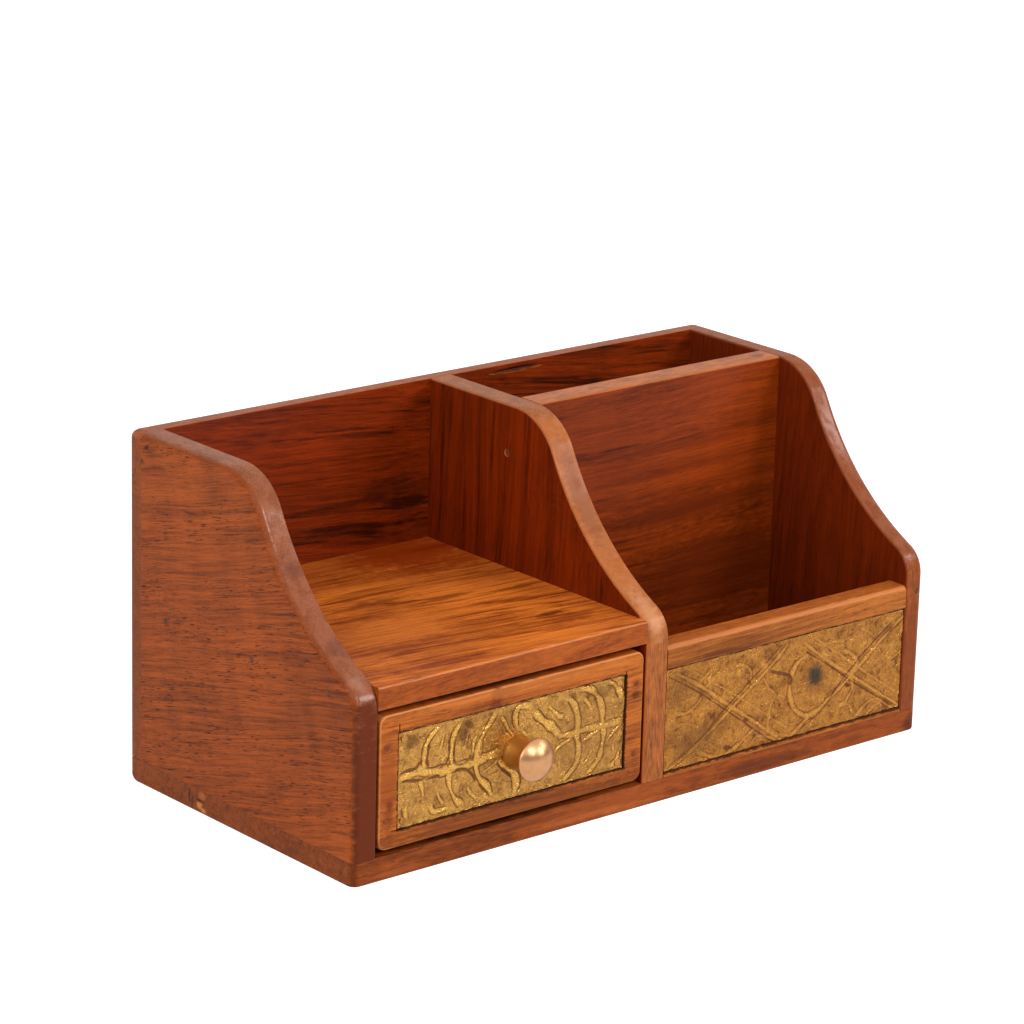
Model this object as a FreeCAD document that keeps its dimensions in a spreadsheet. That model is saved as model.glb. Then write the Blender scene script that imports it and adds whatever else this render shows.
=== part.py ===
import FreeCAD, Part
import math
import os
import re
import Sketcher

# A wooden pen stand with a drawer. Three S-curved uprights stand on a base board in front of a
# back board. A shelf over the drawer and a partition behind the bin tie them together, and every
# joint is butted and held with brads. The origin is the centre of the base's underside, +X runs
# to the right seen from the front, the front faces -Y and +Z is up. Lengths are in millimetres.

doc = FreeCAD.newDocument("PenStand")

SIZES = [
    ("width", 254.0, "overall width of the base and back board"),
    ("depth", 124.0, "front faces to the rear of the back board"),
    ("height", 123.5, "table to the top of the uprights"),
    ("base_thickness", 8.3, "base board"),
    ("back_thickness", 7.5, "back board"),
    ("left_panel_thickness", 9.3, "left upright"),
    ("divider_thickness", 9.8, "middle upright"),
    ("right_panel_thickness", 8.6, "right upright"),
    ("outer_arris", 3.0, "rounding of the carcass's outer corners"),
    ("inner_arris", 0.8, "bevel of the edges round the open compartments"),
    ("base_arris", 0.6, "bevel along the underside"),
    ("front_edge_height", 58.0, "table to where an upright's front edge starts to curve"),
    ("toe_radius", 11.0, "convex lower curve of an upright"),
    ("hollow_radius", 99.0, "concave middle curve of an upright"),
    ("shoulder_radius", 22.0, "convex upper curve of an upright"),
    ("flat_top_start", 70.2, "front face to the flat top of an upright"),
    ("drawer_bay_width", 113.5, "left upright to the middle upright"),
    ("drawer_bay_height", 49.5, "base board to the shelf"),
    ("shelf_thickness", 7.9, "shelf over the drawer"),
    ("pen_slot_depth", 36.7, "partition to the back board"),
    ("partition_thickness", 10.7, "partition between the bin and the pen slot"),
    ("bin_front_thickness", 9.0, "low board in front of the bin"),
    ("bin_front_height", 46.7, "base board to the top of the bin front"),
    ("bin_lip_height", 1.5, "wood left under the bin's brass plate"),
    ("bin_rail_height", 8.4, "wood left over the bin's brass plate"),
    ("rail_arris", 2.2, "front rounding of the bin front's rail"),
    ("sheet_recess", 1.8, "how far the brass plates are let into the wood"),
    ("sheet_thickness", 1.0, "brass plates"),
    ("sheet_gap", 0.15, "gap round a brass plate"),
    ("drawer_side_gap", 0.9, "drawer to the uprights beside it"),
    ("drawer_top_gap", 2.1, "drawer front to the shelf"),
    ("drawer_foot_gap", 1.7, "drawer front to the base board"),
    ("drawer_run_gap", 0.3, "drawer sides to the base board they run on"),
    ("drawer_back_gap", 0.6, "closed drawer to the back board"),
    ("drawer_front_thickness", 10.0, "drawer front"),
    ("drawer_corner", 3.2, "rounding of the drawer front's four corners"),
    ("drawer_arris", 0.8, "bevel round the drawer front's face"),
    ("stile_width", 7.6, "wood left and right of the drawer's brass plate"),
    ("top_rail_width", 6.9, "wood over the drawer's brass plate"),
    ("bottom_rail_width", 5.8, "wood under the drawer's brass plate"),
    ("drawer_side_thickness", 6.0, "drawer sides"),
    ("drawer_side_height", 40.0, "drawer sides"),
    ("drawer_back_thickness", 6.0, "drawer back"),
    ("drawer_bottom_thickness", 3.0, "drawer bottom"),
    ("drawer_bottom_lift", 4.0, "lower edge of the drawer sides to the bottom's groove"),
    ("groove_depth", 3.0, "grooves that hold the drawer bottom"),
    ("groove_gap", 0.2, "play of the drawer bottom in its grooves"),
    ("knob_shift", 1.5, "middle of the drawer front to the knob's axis, to the right"),
    ("knob_drop", 0.6, "middle of the brass plate down to the knob's axis"),
    ("knob_projection", 14.0, "brass plate to the crown of the knob"),
    ("knob_head_radius", 7.4, "rim of the knob's head"),
    ("knob_head_height", 3.8, "rim to the crown of the knob"),
    ("knob_rim_width", 0.8, "straight rim of the knob's head"),
    ("knob_waist_radius", 4.8, "narrowest part of the knob's neck"),
    ("knob_waist_height", 7.6, "brass plate to the knob's waist"),
    ("knob_foot_radius", 5.9, "knob's foot on the brass plate"),
    ("knob_foot_height", 0.9, "straight edge of the knob's foot"),
    ("knob_bore_depth", 8.5, "depth of the threaded bore in the knob"),
    ("screw_radius", 2.0, "shank of the knob's screw"),
    ("screw_head_radius", 3.9, "head of the knob's screw"),
    ("screw_head_height", 2.4, "head of the knob's screw"),
    ("screw_clearance", 0.2, "screw to its hole in the drawer front and the plate"),
    ("screw_tip_gap", 1.0, "screw tip to the end of the knob's bore"),
    ("brad_width", 1.4, "square shank of a brad"),
    ("brad_head_width", 2.2, "square head of a brad"),
    ("brad_head_height", 0.8, "head of a brad"),
    ("brad_length", 22.0, "brad with its head"),
    ("brad_front", 14.2, "front face to the foremost brads"),
    ("brad_middle", 54.7, "front face to the middle brads"),
    ("brad_rear", 102.4, "front face to the rearmost brads"),
    ("brad_low", 36.0, "table to the low brads"),
    ("brad_high", 106.4, "table to the high brads"),
    ("bin_brad_low", 20.0, "table to the lower brads of the bin front"),
    ("bin_brad_high", 45.0, "table to the upper brads of the bin front"),
    ("edge_brad_inset", 3.0, "outer face of the right upright to the brad in its front edge"),
    ("edge_brad_height", 52.0, "table to the brad in the right upright's front edge"),
    ("drawer_brad_inset", 4.0, "end of a drawer front's or back's edge to its brads"),
    ("drawer_brad_length", 18.0, "drawer brad with its head"),
    ("pin_width", 1.0, "square shank of a brass pin"),
    ("pin_head_width", 2.4, "square head of a brass pin"),
    ("pin_head_height", 0.5, "head of a brass pin"),
    ("pin_length", 6.0, "brass pin under its head"),
    ("pin_inset", 2.6, "edge of the brass plate to its pins"),
]

sheet = doc.addObject("Spreadsheet::Sheet", "Sizes")
for row, (alias, number, meaning) in enumerate(SIZES, start=1):
    sheet.set(f"A{row}", meaning)
    sheet.set(f"B{row}", str(number))
    sheet.setAlias(f"B{row}", alias)
doc.recompute()

SAME_PLACE = 0.01

# Places that several pieces share, written with the sizes' names.
LEFT = "(-width / 2)"
RIGHT = "(width / 2)"
FRONT = "(-depth / 2)"
BACK_FACE = "(depth / 2 - back_thickness)"
DIVIDER_LEFT = f"({LEFT} + left_panel_thickness + drawer_bay_width)"
DIVIDER_RIGHT = f"({DIVIDER_LEFT} + divider_thickness)"
BIN_WIDTH = f"({RIGHT} - right_panel_thickness - {DIVIDER_RIGHT})"
CARCASS_DEPTH = "(depth - back_thickness)"
SHELF_BOTTOM = "(base_thickness + drawer_bay_height)"
PARTITION_FRONT = f"({BACK_FACE} - pen_slot_depth - partition_thickness)"

DRAWER_LEFT = f"({LEFT} + left_panel_thickness + drawer_side_gap)"
DRAWER_WIDTH = "(drawer_bay_width - 2 * drawer_side_gap)"
DRAWER_RIGHT = f"({DRAWER_LEFT} + {DRAWER_WIDTH})"
DRAWER_MIDDLE = f"({DRAWER_LEFT} + {DRAWER_WIDTH} / 2)"
FACE_BOTTOM = "(base_thickness + drawer_foot_gap)"
FACE_HEIGHT = "(drawer_bay_height - drawer_foot_gap - drawer_top_gap)"
SIDE_BOTTOM = "(base_thickness + drawer_run_gap)"
SIDE_FRONT = f"({FRONT} + drawer_front_thickness)"
SIDE_LENGTH = f"({CARCASS_DEPTH} - drawer_back_gap - drawer_front_thickness)"
BOX_WIDTH = f"({DRAWER_WIDTH} - 2 * drawer_side_thickness)"
DRAWER_END = f"({SIDE_FRONT} + {SIDE_LENGTH})"
GROOVE_BOTTOM = f"({SIDE_BOTTOM} + drawer_bottom_lift)"
GROOVE_HEIGHT = "(drawer_bottom_thickness + groove_gap)"
RECESS_WIDTH = f"({DRAWER_WIDTH} - 2 * stile_width)"
RECESS_HEIGHT = f"({FACE_HEIGHT} - top_rail_width - bottom_rail_width)"
SHEET_FACE = f"({FRONT} + sheet_recess - sheet_thickness)"
KNOB_ACROSS = f"({DRAWER_MIDDLE} + knob_shift)"
KNOB_HEIGHT = f"({FACE_BOTTOM} + bottom_rail_width + {RECESS_HEIGHT} / 2 - knob_drop)"


def size(name):
    """The number in a named cell of the sheet."""
    return float(sheet.get(name))


def bind(item, target, text):
    """Tie one property or constraint to a formula written with the sizes' names."""
    names = r"[a-z_]+"
    cells = re.sub(names, lambda word: "Sizes." + word.group(0), text)
    item.setExpression(target, cells)


def new_body(label, x=None, y=None, z=None):
    """An empty body whose corner or centre stands at the given place."""
    body = doc.addObject("PartDesign::Body", label)
    body.Label = label
    for axis, text in (("x", x), ("y", y), ("z", z)):
        if text:
            bind(body, f"Placement.Base.{axis}", text)
    return body


def origin_plane(body, role):
    return next(item for item in body.Origin.OriginFeatures if item.Role == role)


def new_sketch(body, name, role):
    sketch = body.newObject("Sketcher::SketchObject", name)
    sketch.AttachmentSupport = [(origin_plane(body, role), "")]
    sketch.MapMode = "FlatFace"
    return sketch


def measure(sketch, text, kind, *where, start):
    """A measured constraint tied to a formula. start is its value until the first recompute."""
    index = sketch.addConstraint(Sketcher.Constraint(kind, *where, start))
    bind(sketch, f"Constraints[{index}]", text)


def fix_point(sketch, geometry, end, across, up):
    """Place one end of a line or one centre by its two distances from the sketch's origin."""
    drawn = sketch.getPoint(geometry, end)
    measure(sketch, across, "DistanceX", -1, 1, geometry, end, start=drawn.x)
    measure(sketch, up, "DistanceY", -1, 1, geometry, end, start=drawn.y)


def outline(sketch, points):
    """Straight lines through the points and back to the first, joined end to end."""
    lines = [line(sketch, *ends) for ends in zip(points, points[1:] + points[:1])]
    for one, following in zip(lines, lines[1:] + lines[:1]):
        sketch.addConstraint(Sketcher.Constraint("Coincident", one, 2, following, 1))
    return lines


def polygon(sketch, corners):
    """A closed outline of straight lines whose corners are pairs of formulas."""
    step = 2 * math.pi / len(corners)
    drawn = [FreeCAD.Vector(math.cos(step * number), math.sin(step * number), 0)
             for number in range(len(corners))]
    for one, (across, up) in zip(outline(sketch, drawn), corners):
        fix_point(sketch, one, 1, across, up)


def square(sketch, across, up, width):
    """A square about the point whose place is a pair of formulas."""
    drawn = [FreeCAD.Vector(*place, 0) for place in ((0, 0), (1, 0), (1, 1), (0, 1))]
    bottom, right, top, left = outline(sketch, drawn)
    for direction, side in (("Horizontal", bottom), ("Vertical", right), ("Horizontal", top),
                            ("Vertical", left)):
        sketch.addConstraint(Sketcher.Constraint(direction, side))
    fix_point(sketch, bottom, 1, f"{across} - {width} / 2", f"{up} - {width} / 2")
    measure(sketch, width, "DistanceX", bottom, 1, bottom, 2, start=drawn[1].x)
    measure(sketch, width, "DistanceY", right, 1, right, 2, start=drawn[2].y)


def turn(sketch, centre, start, stop):
    """An arc that runs anticlockwise about its centre from one point to another."""
    def angle(point):
        return math.atan2(point.y - centre.y, point.x - centre.x)

    whole = Part.Circle(centre, FreeCAD.Vector(0, 0, 1), centre.distanceToPoint(start))
    return sketch.addGeometry(Part.ArcOfCircle(whole, angle(start), angle(stop)))


def line(sketch, start, stop):
    return sketch.addGeometry(Part.LineSegment(start, stop))


def circle(sketch, across, up, radius):
    """A circle whose centre and radius are formulas."""
    whole = Part.Circle(FreeCAD.Vector(0, 0, 0), FreeCAD.Vector(0, 0, 1), 1.0)
    index = sketch.addGeometry(whole)
    fix_point(sketch, index, 3, across, up)
    measure(sketch, radius, "Radius", index, start=whole.Radius)


def feature(body, kind, name, sketch, **sizes):
    """A sketch-based feature whose named properties are bound to formulas."""
    item = body.newObject(kind, name)
    item.Profile = sketch
    for target, text in sizes.items():
        bind(item, target, text)
    return item


def box(body, kind, name, length, width, height, x=None, y=None, z=None):
    """An additive or subtractive box with its low corner at the given place in the body."""
    item = body.newObject(kind, name)
    item.AttachmentSupport = [(origin_plane(body, "XY_Plane"), "")]
    item.MapMode = "FlatFace"
    for target, text in (("Length", length), ("Width", width), ("Height", height)):
        bind(item, target, text)
    for axis, text in (("x", x), ("y", y), ("z", z)):
        if text:
            bind(item, f"AttachmentOffset.Base.{axis}", text)
    return item


def board(label, length, width, height, x, y, z):
    """A plain sawn board."""
    body = new_body(label, x, y, z)
    box(body, "PartDesign::AdditiveBox", "Board", length, width, height)
    return body


def revolved(body, sketch):
    """A turned solid about the sketch's vertical axis, which is the body's Y axis."""
    turned = body.newObject("PartDesign::Revolution", "Turned")
    turned.Profile = sketch
    turned.ReferenceAxis = (sketch, ["V_Axis"])
    turned.Angle = 360
    return turned


def dress_edges(body, kind, name, amount, wanted):
    """Dress the edges that the test picks, by their middle point and their direction."""
    body.recompute(True)
    base = body.Tip
    shape = base.Shape
    picked = []
    for number, edge in enumerate(shape.Edges, start=1):
        middle = edge.valueAt((edge.FirstParameter + edge.LastParameter) / 2)
        run = edge.Vertexes[-1].Point - edge.Vertexes[0].Point
        if wanted(middle, run, shape.BoundBox):
            picked.append(f"Edge{number}")
    dressing = body.newObject(kind, name)
    dressing.Base = (base, picked)
    bind(dressing, "Size" if kind == "PartDesign::Chamfer" else "Radius", amount)


def round_edges(body, name, radius, wanted):
    dress_edges(body, "PartDesign::Fillet", name, radius, wanted)


def ease_edges(body, name, width, wanted):
    """Take the sharpness off sawn edges with a narrow bevel."""
    dress_edges(body, "PartDesign::Chamfer", name, width, wanted)


def near(one, other):
    return abs(one - other) < SAME_PLACE


def along(run, axis):
    """Whether an edge runs straight along X, Y or Z."""
    return near(abs(run[axis]), run.Length) and run.Length > 0


# ---- Uprights -----------------------------------------------------------------------------

def upright_outline(sketch):
    """Side view of an upright: front edge, toe, hollow, shoulder and flat top in one S-curve."""
    rise = size("height") - size("base_thickness")
    lip = size("front_edge_height") - size("base_thickness")
    run = size("depth") - size("back_thickness")
    flat = size("flat_top_start")
    toe_r = size("toe_radius")
    hollow_r = size("hollow_radius")
    shoulder_r = size("shoulder_radius")

    toe = FreeCAD.Vector(toe_r, lip, 0)
    shoulder = FreeCAD.Vector(flat, rise - shoulder_r, 0)
    between = shoulder - toe
    near_side = toe_r + hollow_r
    far_side = shoulder_r + hollow_r
    foot = (near_side**2 - far_side**2 + between.Length**2) / (2 * between.Length)
    lift = math.sqrt(near_side**2 - foot**2)
    forward = between / between.Length
    outward = FreeCAD.Vector(-forward.y, forward.x, 0)
    hollow = toe + forward * foot + outward * lift
    toe_end = toe + (hollow - toe) * (toe_r / near_side)
    hollow_end = shoulder + (hollow - shoulder) * (shoulder_r / far_side)

    corner = FreeCAD.Vector(0, 0, 0)
    heel = FreeCAD.Vector(run, 0, 0)
    rear_top = FreeCAD.Vector(run, rise, 0)
    flat_end = FreeCAD.Vector(flat, rise, 0)
    lip_top = FreeCAD.Vector(0, lip, 0)
    bottom_line = line(sketch, corner, heel)
    rear_line = line(sketch, heel, rear_top)
    top_line = line(sketch, rear_top, flat_end)
    shoulder_arc = turn(sketch, shoulder, flat_end, hollow_end)
    hollow_arc = turn(sketch, hollow, toe_end, hollow_end)
    toe_arc = turn(sketch, toe, toe_end, lip_top)
    front_line = line(sketch, lip_top, corner)

    rule = Sketcher.Constraint
    sketch.addConstraint(rule("Coincident", bottom_line, 2, rear_line, 1))
    sketch.addConstraint(rule("Coincident", rear_line, 2, top_line, 1))
    sketch.addConstraint(rule("Tangent", top_line, 2, shoulder_arc, 1))
    sketch.addConstraint(rule("Tangent", shoulder_arc, 2, hollow_arc, 2))
    sketch.addConstraint(rule("Tangent", hollow_arc, 1, toe_arc, 1))
    sketch.addConstraint(rule("Tangent", toe_arc, 2, front_line, 1))
    sketch.addConstraint(rule("Coincident", front_line, 2, bottom_line, 1))
    sketch.addConstraint(rule("Vertical", front_line))
    sketch.addConstraint(rule("Horizontal", top_line))
    fix_point(sketch, bottom_line, 1, "0", "0")
    fix_point(sketch, rear_line, 1, CARCASS_DEPTH, "0")
    fix_point(sketch, top_line, 1, CARCASS_DEPTH, "height - base_thickness")
    measure(sketch, "flat_top_start", "DistanceX", -1, 1, top_line, 2, start=flat)
    measure(sketch, "front_edge_height - base_thickness", "DistanceY", -1, 1, front_line, 1,
            start=lip)
    measure(sketch, "shoulder_radius", "Radius", shoulder_arc, start=shoulder_r)
    measure(sketch, "hollow_radius", "Radius", hollow_arc, start=hollow_r)
    measure(sketch, "toe_radius", "Radius", toe_arc, start=toe_r)


def upright(label, thickness, x, outer_face=None):
    """An upright on the base board. The arris of its outer face is rounded, others are eased."""
    body = new_body(label, x, FRONT, "base_thickness")
    sketch = new_sketch(body, "Outline", "YZ_Plane")
    upright_outline(sketch)
    feature(body, "PartDesign::Pad", "Panel", sketch, Length=thickness)

    def rim(face):
        """Picks a side face's edges, except those along the base board and the back board."""
        def wanted(middle, run, box):
            butted = near(middle.z, box.ZMin) or near(middle.y, box.YMax)
            return near(middle.x, getattr(box, face)) and not butted
        return wanted

    for face in ("XMin", "XMax"):
        if face == outer_face:
            round_edges(body, f"{face}Arris", "outer_arris", rim(face))
        else:
            ease_edges(body, f"{face}Arris", "inner_arris", rim(face))
    return body


# ---- Boards of the carcass ----------------------------------------------------------------

def base_board():
    """The base carries everything and shows as the lowest strip on all sides."""
    body = board("Base", "width", "depth", "base_thickness", LEFT, FRONT, "0")
    round_edges(body, "Corners", "outer_arris", lambda middle, run, box: along(run, 2))
    ease_edges(body, "Underside", "base_arris", lambda middle, run, box: near(middle.z, 0))
    return body


def back_board():
    """The back stands on the base and covers the rear ends of the uprights."""
    body = board("Back", "width", "back_thickness", "height - base_thickness",
                 LEFT, BACK_FACE, "base_thickness")

    def outer(middle, run, box):
        rear_corner = along(run, 2) and near(middle.y, box.YMax)
        top_end = along(run, 1) and near(middle.z, box.ZMax)
        top_rear = along(run, 0) and near(middle.y, box.YMax) and near(middle.z, box.ZMax)
        return rear_corner or top_end or top_rear

    round_edges(body, "OuterArris", "outer_arris", outer)
    return body


def shelf_board():
    """The shelf closes the drawer bay and is the floor of the open tray above it."""
    body = board("Shelf", "drawer_bay_width", CARCASS_DEPTH, "shelf_thickness",
                 f"{LEFT} + left_panel_thickness", FRONT, SHELF_BOTTOM)

    def top_front(middle, run, box):
        return near(middle.z, box.ZMax) and near(middle.y, box.YMin)

    ease_edges(body, "FrontArris", "inner_arris", top_front)
    return body


def pen_partition():
    """The partition parts the bin from the pen slot and stands as high as the uprights."""
    body = board("Partition", BIN_WIDTH, "partition_thickness", "height - base_thickness",
                 DIVIDER_RIGHT, PARTITION_FRONT, "base_thickness")

    def top_edges(middle, run, box):
        return near(middle.z, box.ZMax) and along(run, 0)

    ease_edges(body, "TopArris", "inner_arris", top_edges)
    return body


def bin_front():
    """The bin's low front, with a rabbet across its face that leaves a rail over the brass."""
    body = new_body("BinFront", DIVIDER_RIGHT, FRONT, "base_thickness")
    sketch = new_sketch(body, "Section", "YZ_Plane")
    rail_bottom = "bin_front_height - bin_rail_height"
    polygon(sketch, [
        ("0", "0"),
        ("bin_front_thickness", "0"),
        ("bin_front_thickness", "bin_front_height"),
        ("0", "bin_front_height"),
        ("0", rail_bottom),
        ("sheet_recess", rail_bottom),
        ("sheet_recess", "bin_lip_height"),
        ("0", "bin_lip_height"),
    ])
    feature(body, "PartDesign::Pad", "Rail", sketch, Length=BIN_WIDTH)

    def top_front(middle, run, box):
        return near(middle.z, box.ZMax) and near(middle.y, box.YMin)

    def top_rear(middle, run, box):
        return near(middle.z, box.ZMax) and near(middle.y, box.YMax)

    round_edges(body, "RailFront", "rail_arris", top_front)
    ease_edges(body, "RailRear", "inner_arris", top_rear)
    return body


def bin_plate():
    """The embossed sheet over the bin's front, let in between the lip and the rail."""
    return board("BinPlate", f"{BIN_WIDTH} - 2 * sheet_gap", "sheet_thickness",
                 "bin_front_height - bin_rail_height - bin_lip_height - 2 * sheet_gap",
                 f"{DIVIDER_RIGHT} + sheet_gap", SHEET_FACE,
                 "base_thickness + bin_lip_height + sheet_gap")


# ---- Drawer -------------------------------------------------------------------------------

def drawer_front():
    """The drawer's front: rounded corners, a square recess for the brass and a rear groove."""
    body = board("DrawerFront", DRAWER_WIDTH, "drawer_front_thickness", FACE_HEIGHT,
                 DRAWER_LEFT, FRONT, FACE_BOTTOM)
    round_edges(body, "Corners", "drawer_corner", lambda middle, run, box: along(run, 1))
    ease_edges(body, "FaceArris", "drawer_arris", lambda middle, run, box: near(middle.y, 0))
    box(body, "PartDesign::SubtractiveBox", "PlateRecess",
        RECESS_WIDTH, "sheet_recess", RECESS_HEIGHT, "stile_width", "0", "bottom_rail_width")
    box(body, "PartDesign::SubtractiveBox", "BottomGroove",
        f"{BOX_WIDTH} + 2 * groove_depth", "groove_depth", GROOVE_HEIGHT,
        "drawer_side_thickness - groove_depth", "drawer_front_thickness - groove_depth",
        f"{GROOVE_BOTTOM} - {FACE_BOTTOM}")
    hole = new_sketch(body, "ScrewHole", "XZ_Plane")
    circle(hole, f"{DRAWER_WIDTH} / 2 + knob_shift", f"{KNOB_HEIGHT} - {FACE_BOTTOM}",
           "screw_radius + screw_clearance")
    feature(body, "PartDesign::Pocket", "ScrewBore", hole, Length="drawer_front_thickness")
    return body


def drawer_side(label, x, groove_x):
    """A side runs on the base board and holds the bottom in a groove along its inner face."""
    body = board(label, "drawer_side_thickness", SIDE_LENGTH, "drawer_side_height",
                 x, SIDE_FRONT, SIDE_BOTTOM)
    box(body, "PartDesign::SubtractiveBox", "BottomGroove",
        "groove_depth", SIDE_LENGTH, GROOVE_HEIGHT, groove_x, "0", "drawer_bottom_lift")
    return body


def drawer_back():
    """The back stands on the drawer bottom between the sides."""
    return board("DrawerBack", BOX_WIDTH, "drawer_back_thickness",
                 "drawer_side_height - drawer_bottom_lift - drawer_bottom_thickness",
                 f"{DRAWER_LEFT} + drawer_side_thickness", f"{DRAWER_END} - drawer_back_thickness",
                 f"{GROOVE_BOTTOM} + drawer_bottom_thickness")


def drawer_bottom():
    """The thin bottom slides into the grooves of the front and sides, under the back."""
    reach = "(groove_depth - groove_gap)"
    return board("DrawerBottom", f"{BOX_WIDTH} + 2 * {reach}", f"{SIDE_LENGTH} + {reach}",
                 "drawer_bottom_thickness",
                 f"{DRAWER_LEFT} + drawer_side_thickness - {reach}", f"{SIDE_FRONT} - {reach}",
                 GROOVE_BOTTOM)


def drawer_plate():
    """The embossed sheet in the drawer front's recess, with a hole for the knob's screw."""
    body = board("DrawerPlate", f"{RECESS_WIDTH} - 2 * sheet_gap", "sheet_thickness",
                 f"{RECESS_HEIGHT} - 2 * sheet_gap",
                 f"{DRAWER_LEFT} + stile_width + sheet_gap", SHEET_FACE,
                 f"{FACE_BOTTOM} + bottom_rail_width + sheet_gap")
    hole = new_sketch(body, "ScrewHole", "XZ_Plane")
    circle(hole, f"{RECESS_WIDTH} / 2 + knob_shift - sheet_gap",
           f"{RECESS_HEIGHT} / 2 - knob_drop - sheet_gap",
           "screw_radius + screw_clearance")
    feature(body, "PartDesign::Pocket", "ScrewBore", hole, Length="sheet_thickness")
    return body


def knob():
    """A turned knob: trumpet neck, tapered throat and a domed head with a thin straight rim."""
    body = new_body("Knob", KNOB_ACROSS, SHEET_FACE, KNOB_HEIGHT)
    sketch = new_sketch(body, "Profile", "XY_Plane")
    bore = size("screw_radius")
    foot = size("knob_foot_radius")
    waist = size("knob_waist_radius")
    head = size("knob_head_radius")
    waist_at = -size("knob_waist_height")
    crown_at = -size("knob_projection")
    rim_top_at = crown_at + size("knob_head_height")

    foot_edge = FreeCAD.Vector(foot, 0, 0)
    foot_top = FreeCAD.Vector(foot, -size("knob_foot_height"), 0)
    neck = FreeCAD.Vector(waist, waist_at, 0)
    rim_bottom = FreeCAD.Vector(head, rim_top_at + size("knob_rim_width"), 0)
    rim_top = FreeCAD.Vector(head, rim_top_at, 0)
    crown = FreeCAD.Vector(0, crown_at, 0)
    bore_end = FreeCAD.Vector(0, -size("knob_bore_depth"), 0)
    bore_corner = FreeCAD.Vector(bore, -size("knob_bore_depth"), 0)
    bore_mouth = FreeCAD.Vector(bore, 0, 0)

    out = foot - waist
    flare_radius = (out**2 + (foot_top.y - waist_at) ** 2) / (2 * out)
    flare_centre = FreeCAD.Vector(waist + flare_radius, waist_at, 0)
    dome_radius = (head**2 + size("knob_head_height") ** 2) / (2 * size("knob_head_height"))
    dome_centre = FreeCAD.Vector(0, crown_at + dome_radius, 0)
    mouth_line = line(sketch, bore_mouth, foot_edge)
    foot_line = line(sketch, foot_edge, foot_top)
    flare = turn(sketch, flare_centre, foot_top, neck)
    throat = line(sketch, neck, rim_bottom)
    rim_line = line(sketch, rim_bottom, rim_top)
    dome = turn(sketch, dome_centre, crown, rim_top)
    axis_line = line(sketch, crown, bore_end)
    end_line = line(sketch, bore_end, bore_corner)
    bore_line = line(sketch, bore_corner, bore_mouth)

    rule = Sketcher.Constraint
    for one, one_end, other, other_end in (
        (mouth_line, 2, foot_line, 1), (foot_line, 2, flare, 1), (flare, 2, throat, 1),
        (throat, 2, rim_line, 1), (rim_line, 2, dome, 2), (dome, 1, axis_line, 1),
        (axis_line, 2, end_line, 1), (end_line, 2, bore_line, 1), (bore_line, 2, mouth_line, 1),
    ):
        sketch.addConstraint(rule("Coincident", one, one_end, other, other_end))
    sketch.addConstraint(rule("Horizontal", flare, 3, flare, 2))
    sketch.addConstraint(rule("PointOnObject", dome, 3, -2))
    crown_text = "-knob_projection"
    rim_text = "knob_head_height - knob_projection"
    fix_point(sketch, mouth_line, 1, "screw_radius", "0")
    fix_point(sketch, foot_line, 1, "knob_foot_radius", "0")
    fix_point(sketch, flare, 1, "knob_foot_radius", "-knob_foot_height")
    fix_point(sketch, flare, 2, "knob_waist_radius", "-knob_waist_height")
    fix_point(sketch, rim_line, 1, "knob_head_radius", f"{rim_text} + knob_rim_width")
    fix_point(sketch, rim_line, 2, "knob_head_radius", rim_text)
    fix_point(sketch, axis_line, 1, "0", crown_text)
    fix_point(sketch, axis_line, 2, "0", "-knob_bore_depth")
    fix_point(sketch, bore_line, 1, "screw_radius", "-knob_bore_depth")
    revolved(body, sketch)
    return body


def knob_screw():
    """A pan-head machine screw from inside the drawer into the knob."""
    body = new_body("KnobScrew", KNOB_ACROSS, SIDE_FRONT, KNOB_HEIGHT)
    sketch = new_sketch(body, "Profile", "XY_Plane")
    tip = f"{SHEET_FACE} - knob_bore_depth + screw_tip_gap - {SIDE_FRONT}"
    polygon(sketch, [
        ("0", tip),
        ("screw_radius", tip),
        ("screw_radius", "0"),
        ("screw_head_radius", "0"),
        ("screw_head_radius", "screw_head_height"),
        ("0", "screw_head_height"),
    ])
    revolved(body, sketch)
    return body


# ---- Brads and pins -----------------------------------------------------------------------

def nails(label, plane, places, place, sections):
    """Like fasteners driven from one face, with a shank and a head at each place on the plane.

    A section is a name, a width, a length and whether it runs against the plane's normal.
    """
    body = new_body(label, *place)
    for name, width, length, against in sections:
        sketch = new_sketch(body, name, plane)
        for across, up in places:
            square(sketch, across, up, width)
        pad = feature(body, "PartDesign::Pad", f"{name}Pad", sketch, Length=length)
        pad.Reversed = against
    return body


def brads(label, plane, places, place, against, length="brad_length"):
    """Brads with their heads set flush in the face they are driven from."""
    return nails(label, plane, places, place, (
        ("Shanks", "brad_width", length, against),
        ("Heads", "brad_head_width", "brad_head_height", against),
    ))


def pins(label, plane, places, place):
    """Brass pins through a plate, with their heads on its face."""
    return nails(label, plane, places, place, (
        ("Shanks", "pin_width", "pin_length", True),
        ("Heads", "pin_head_width", "pin_head_height", False),
    ))


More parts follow.
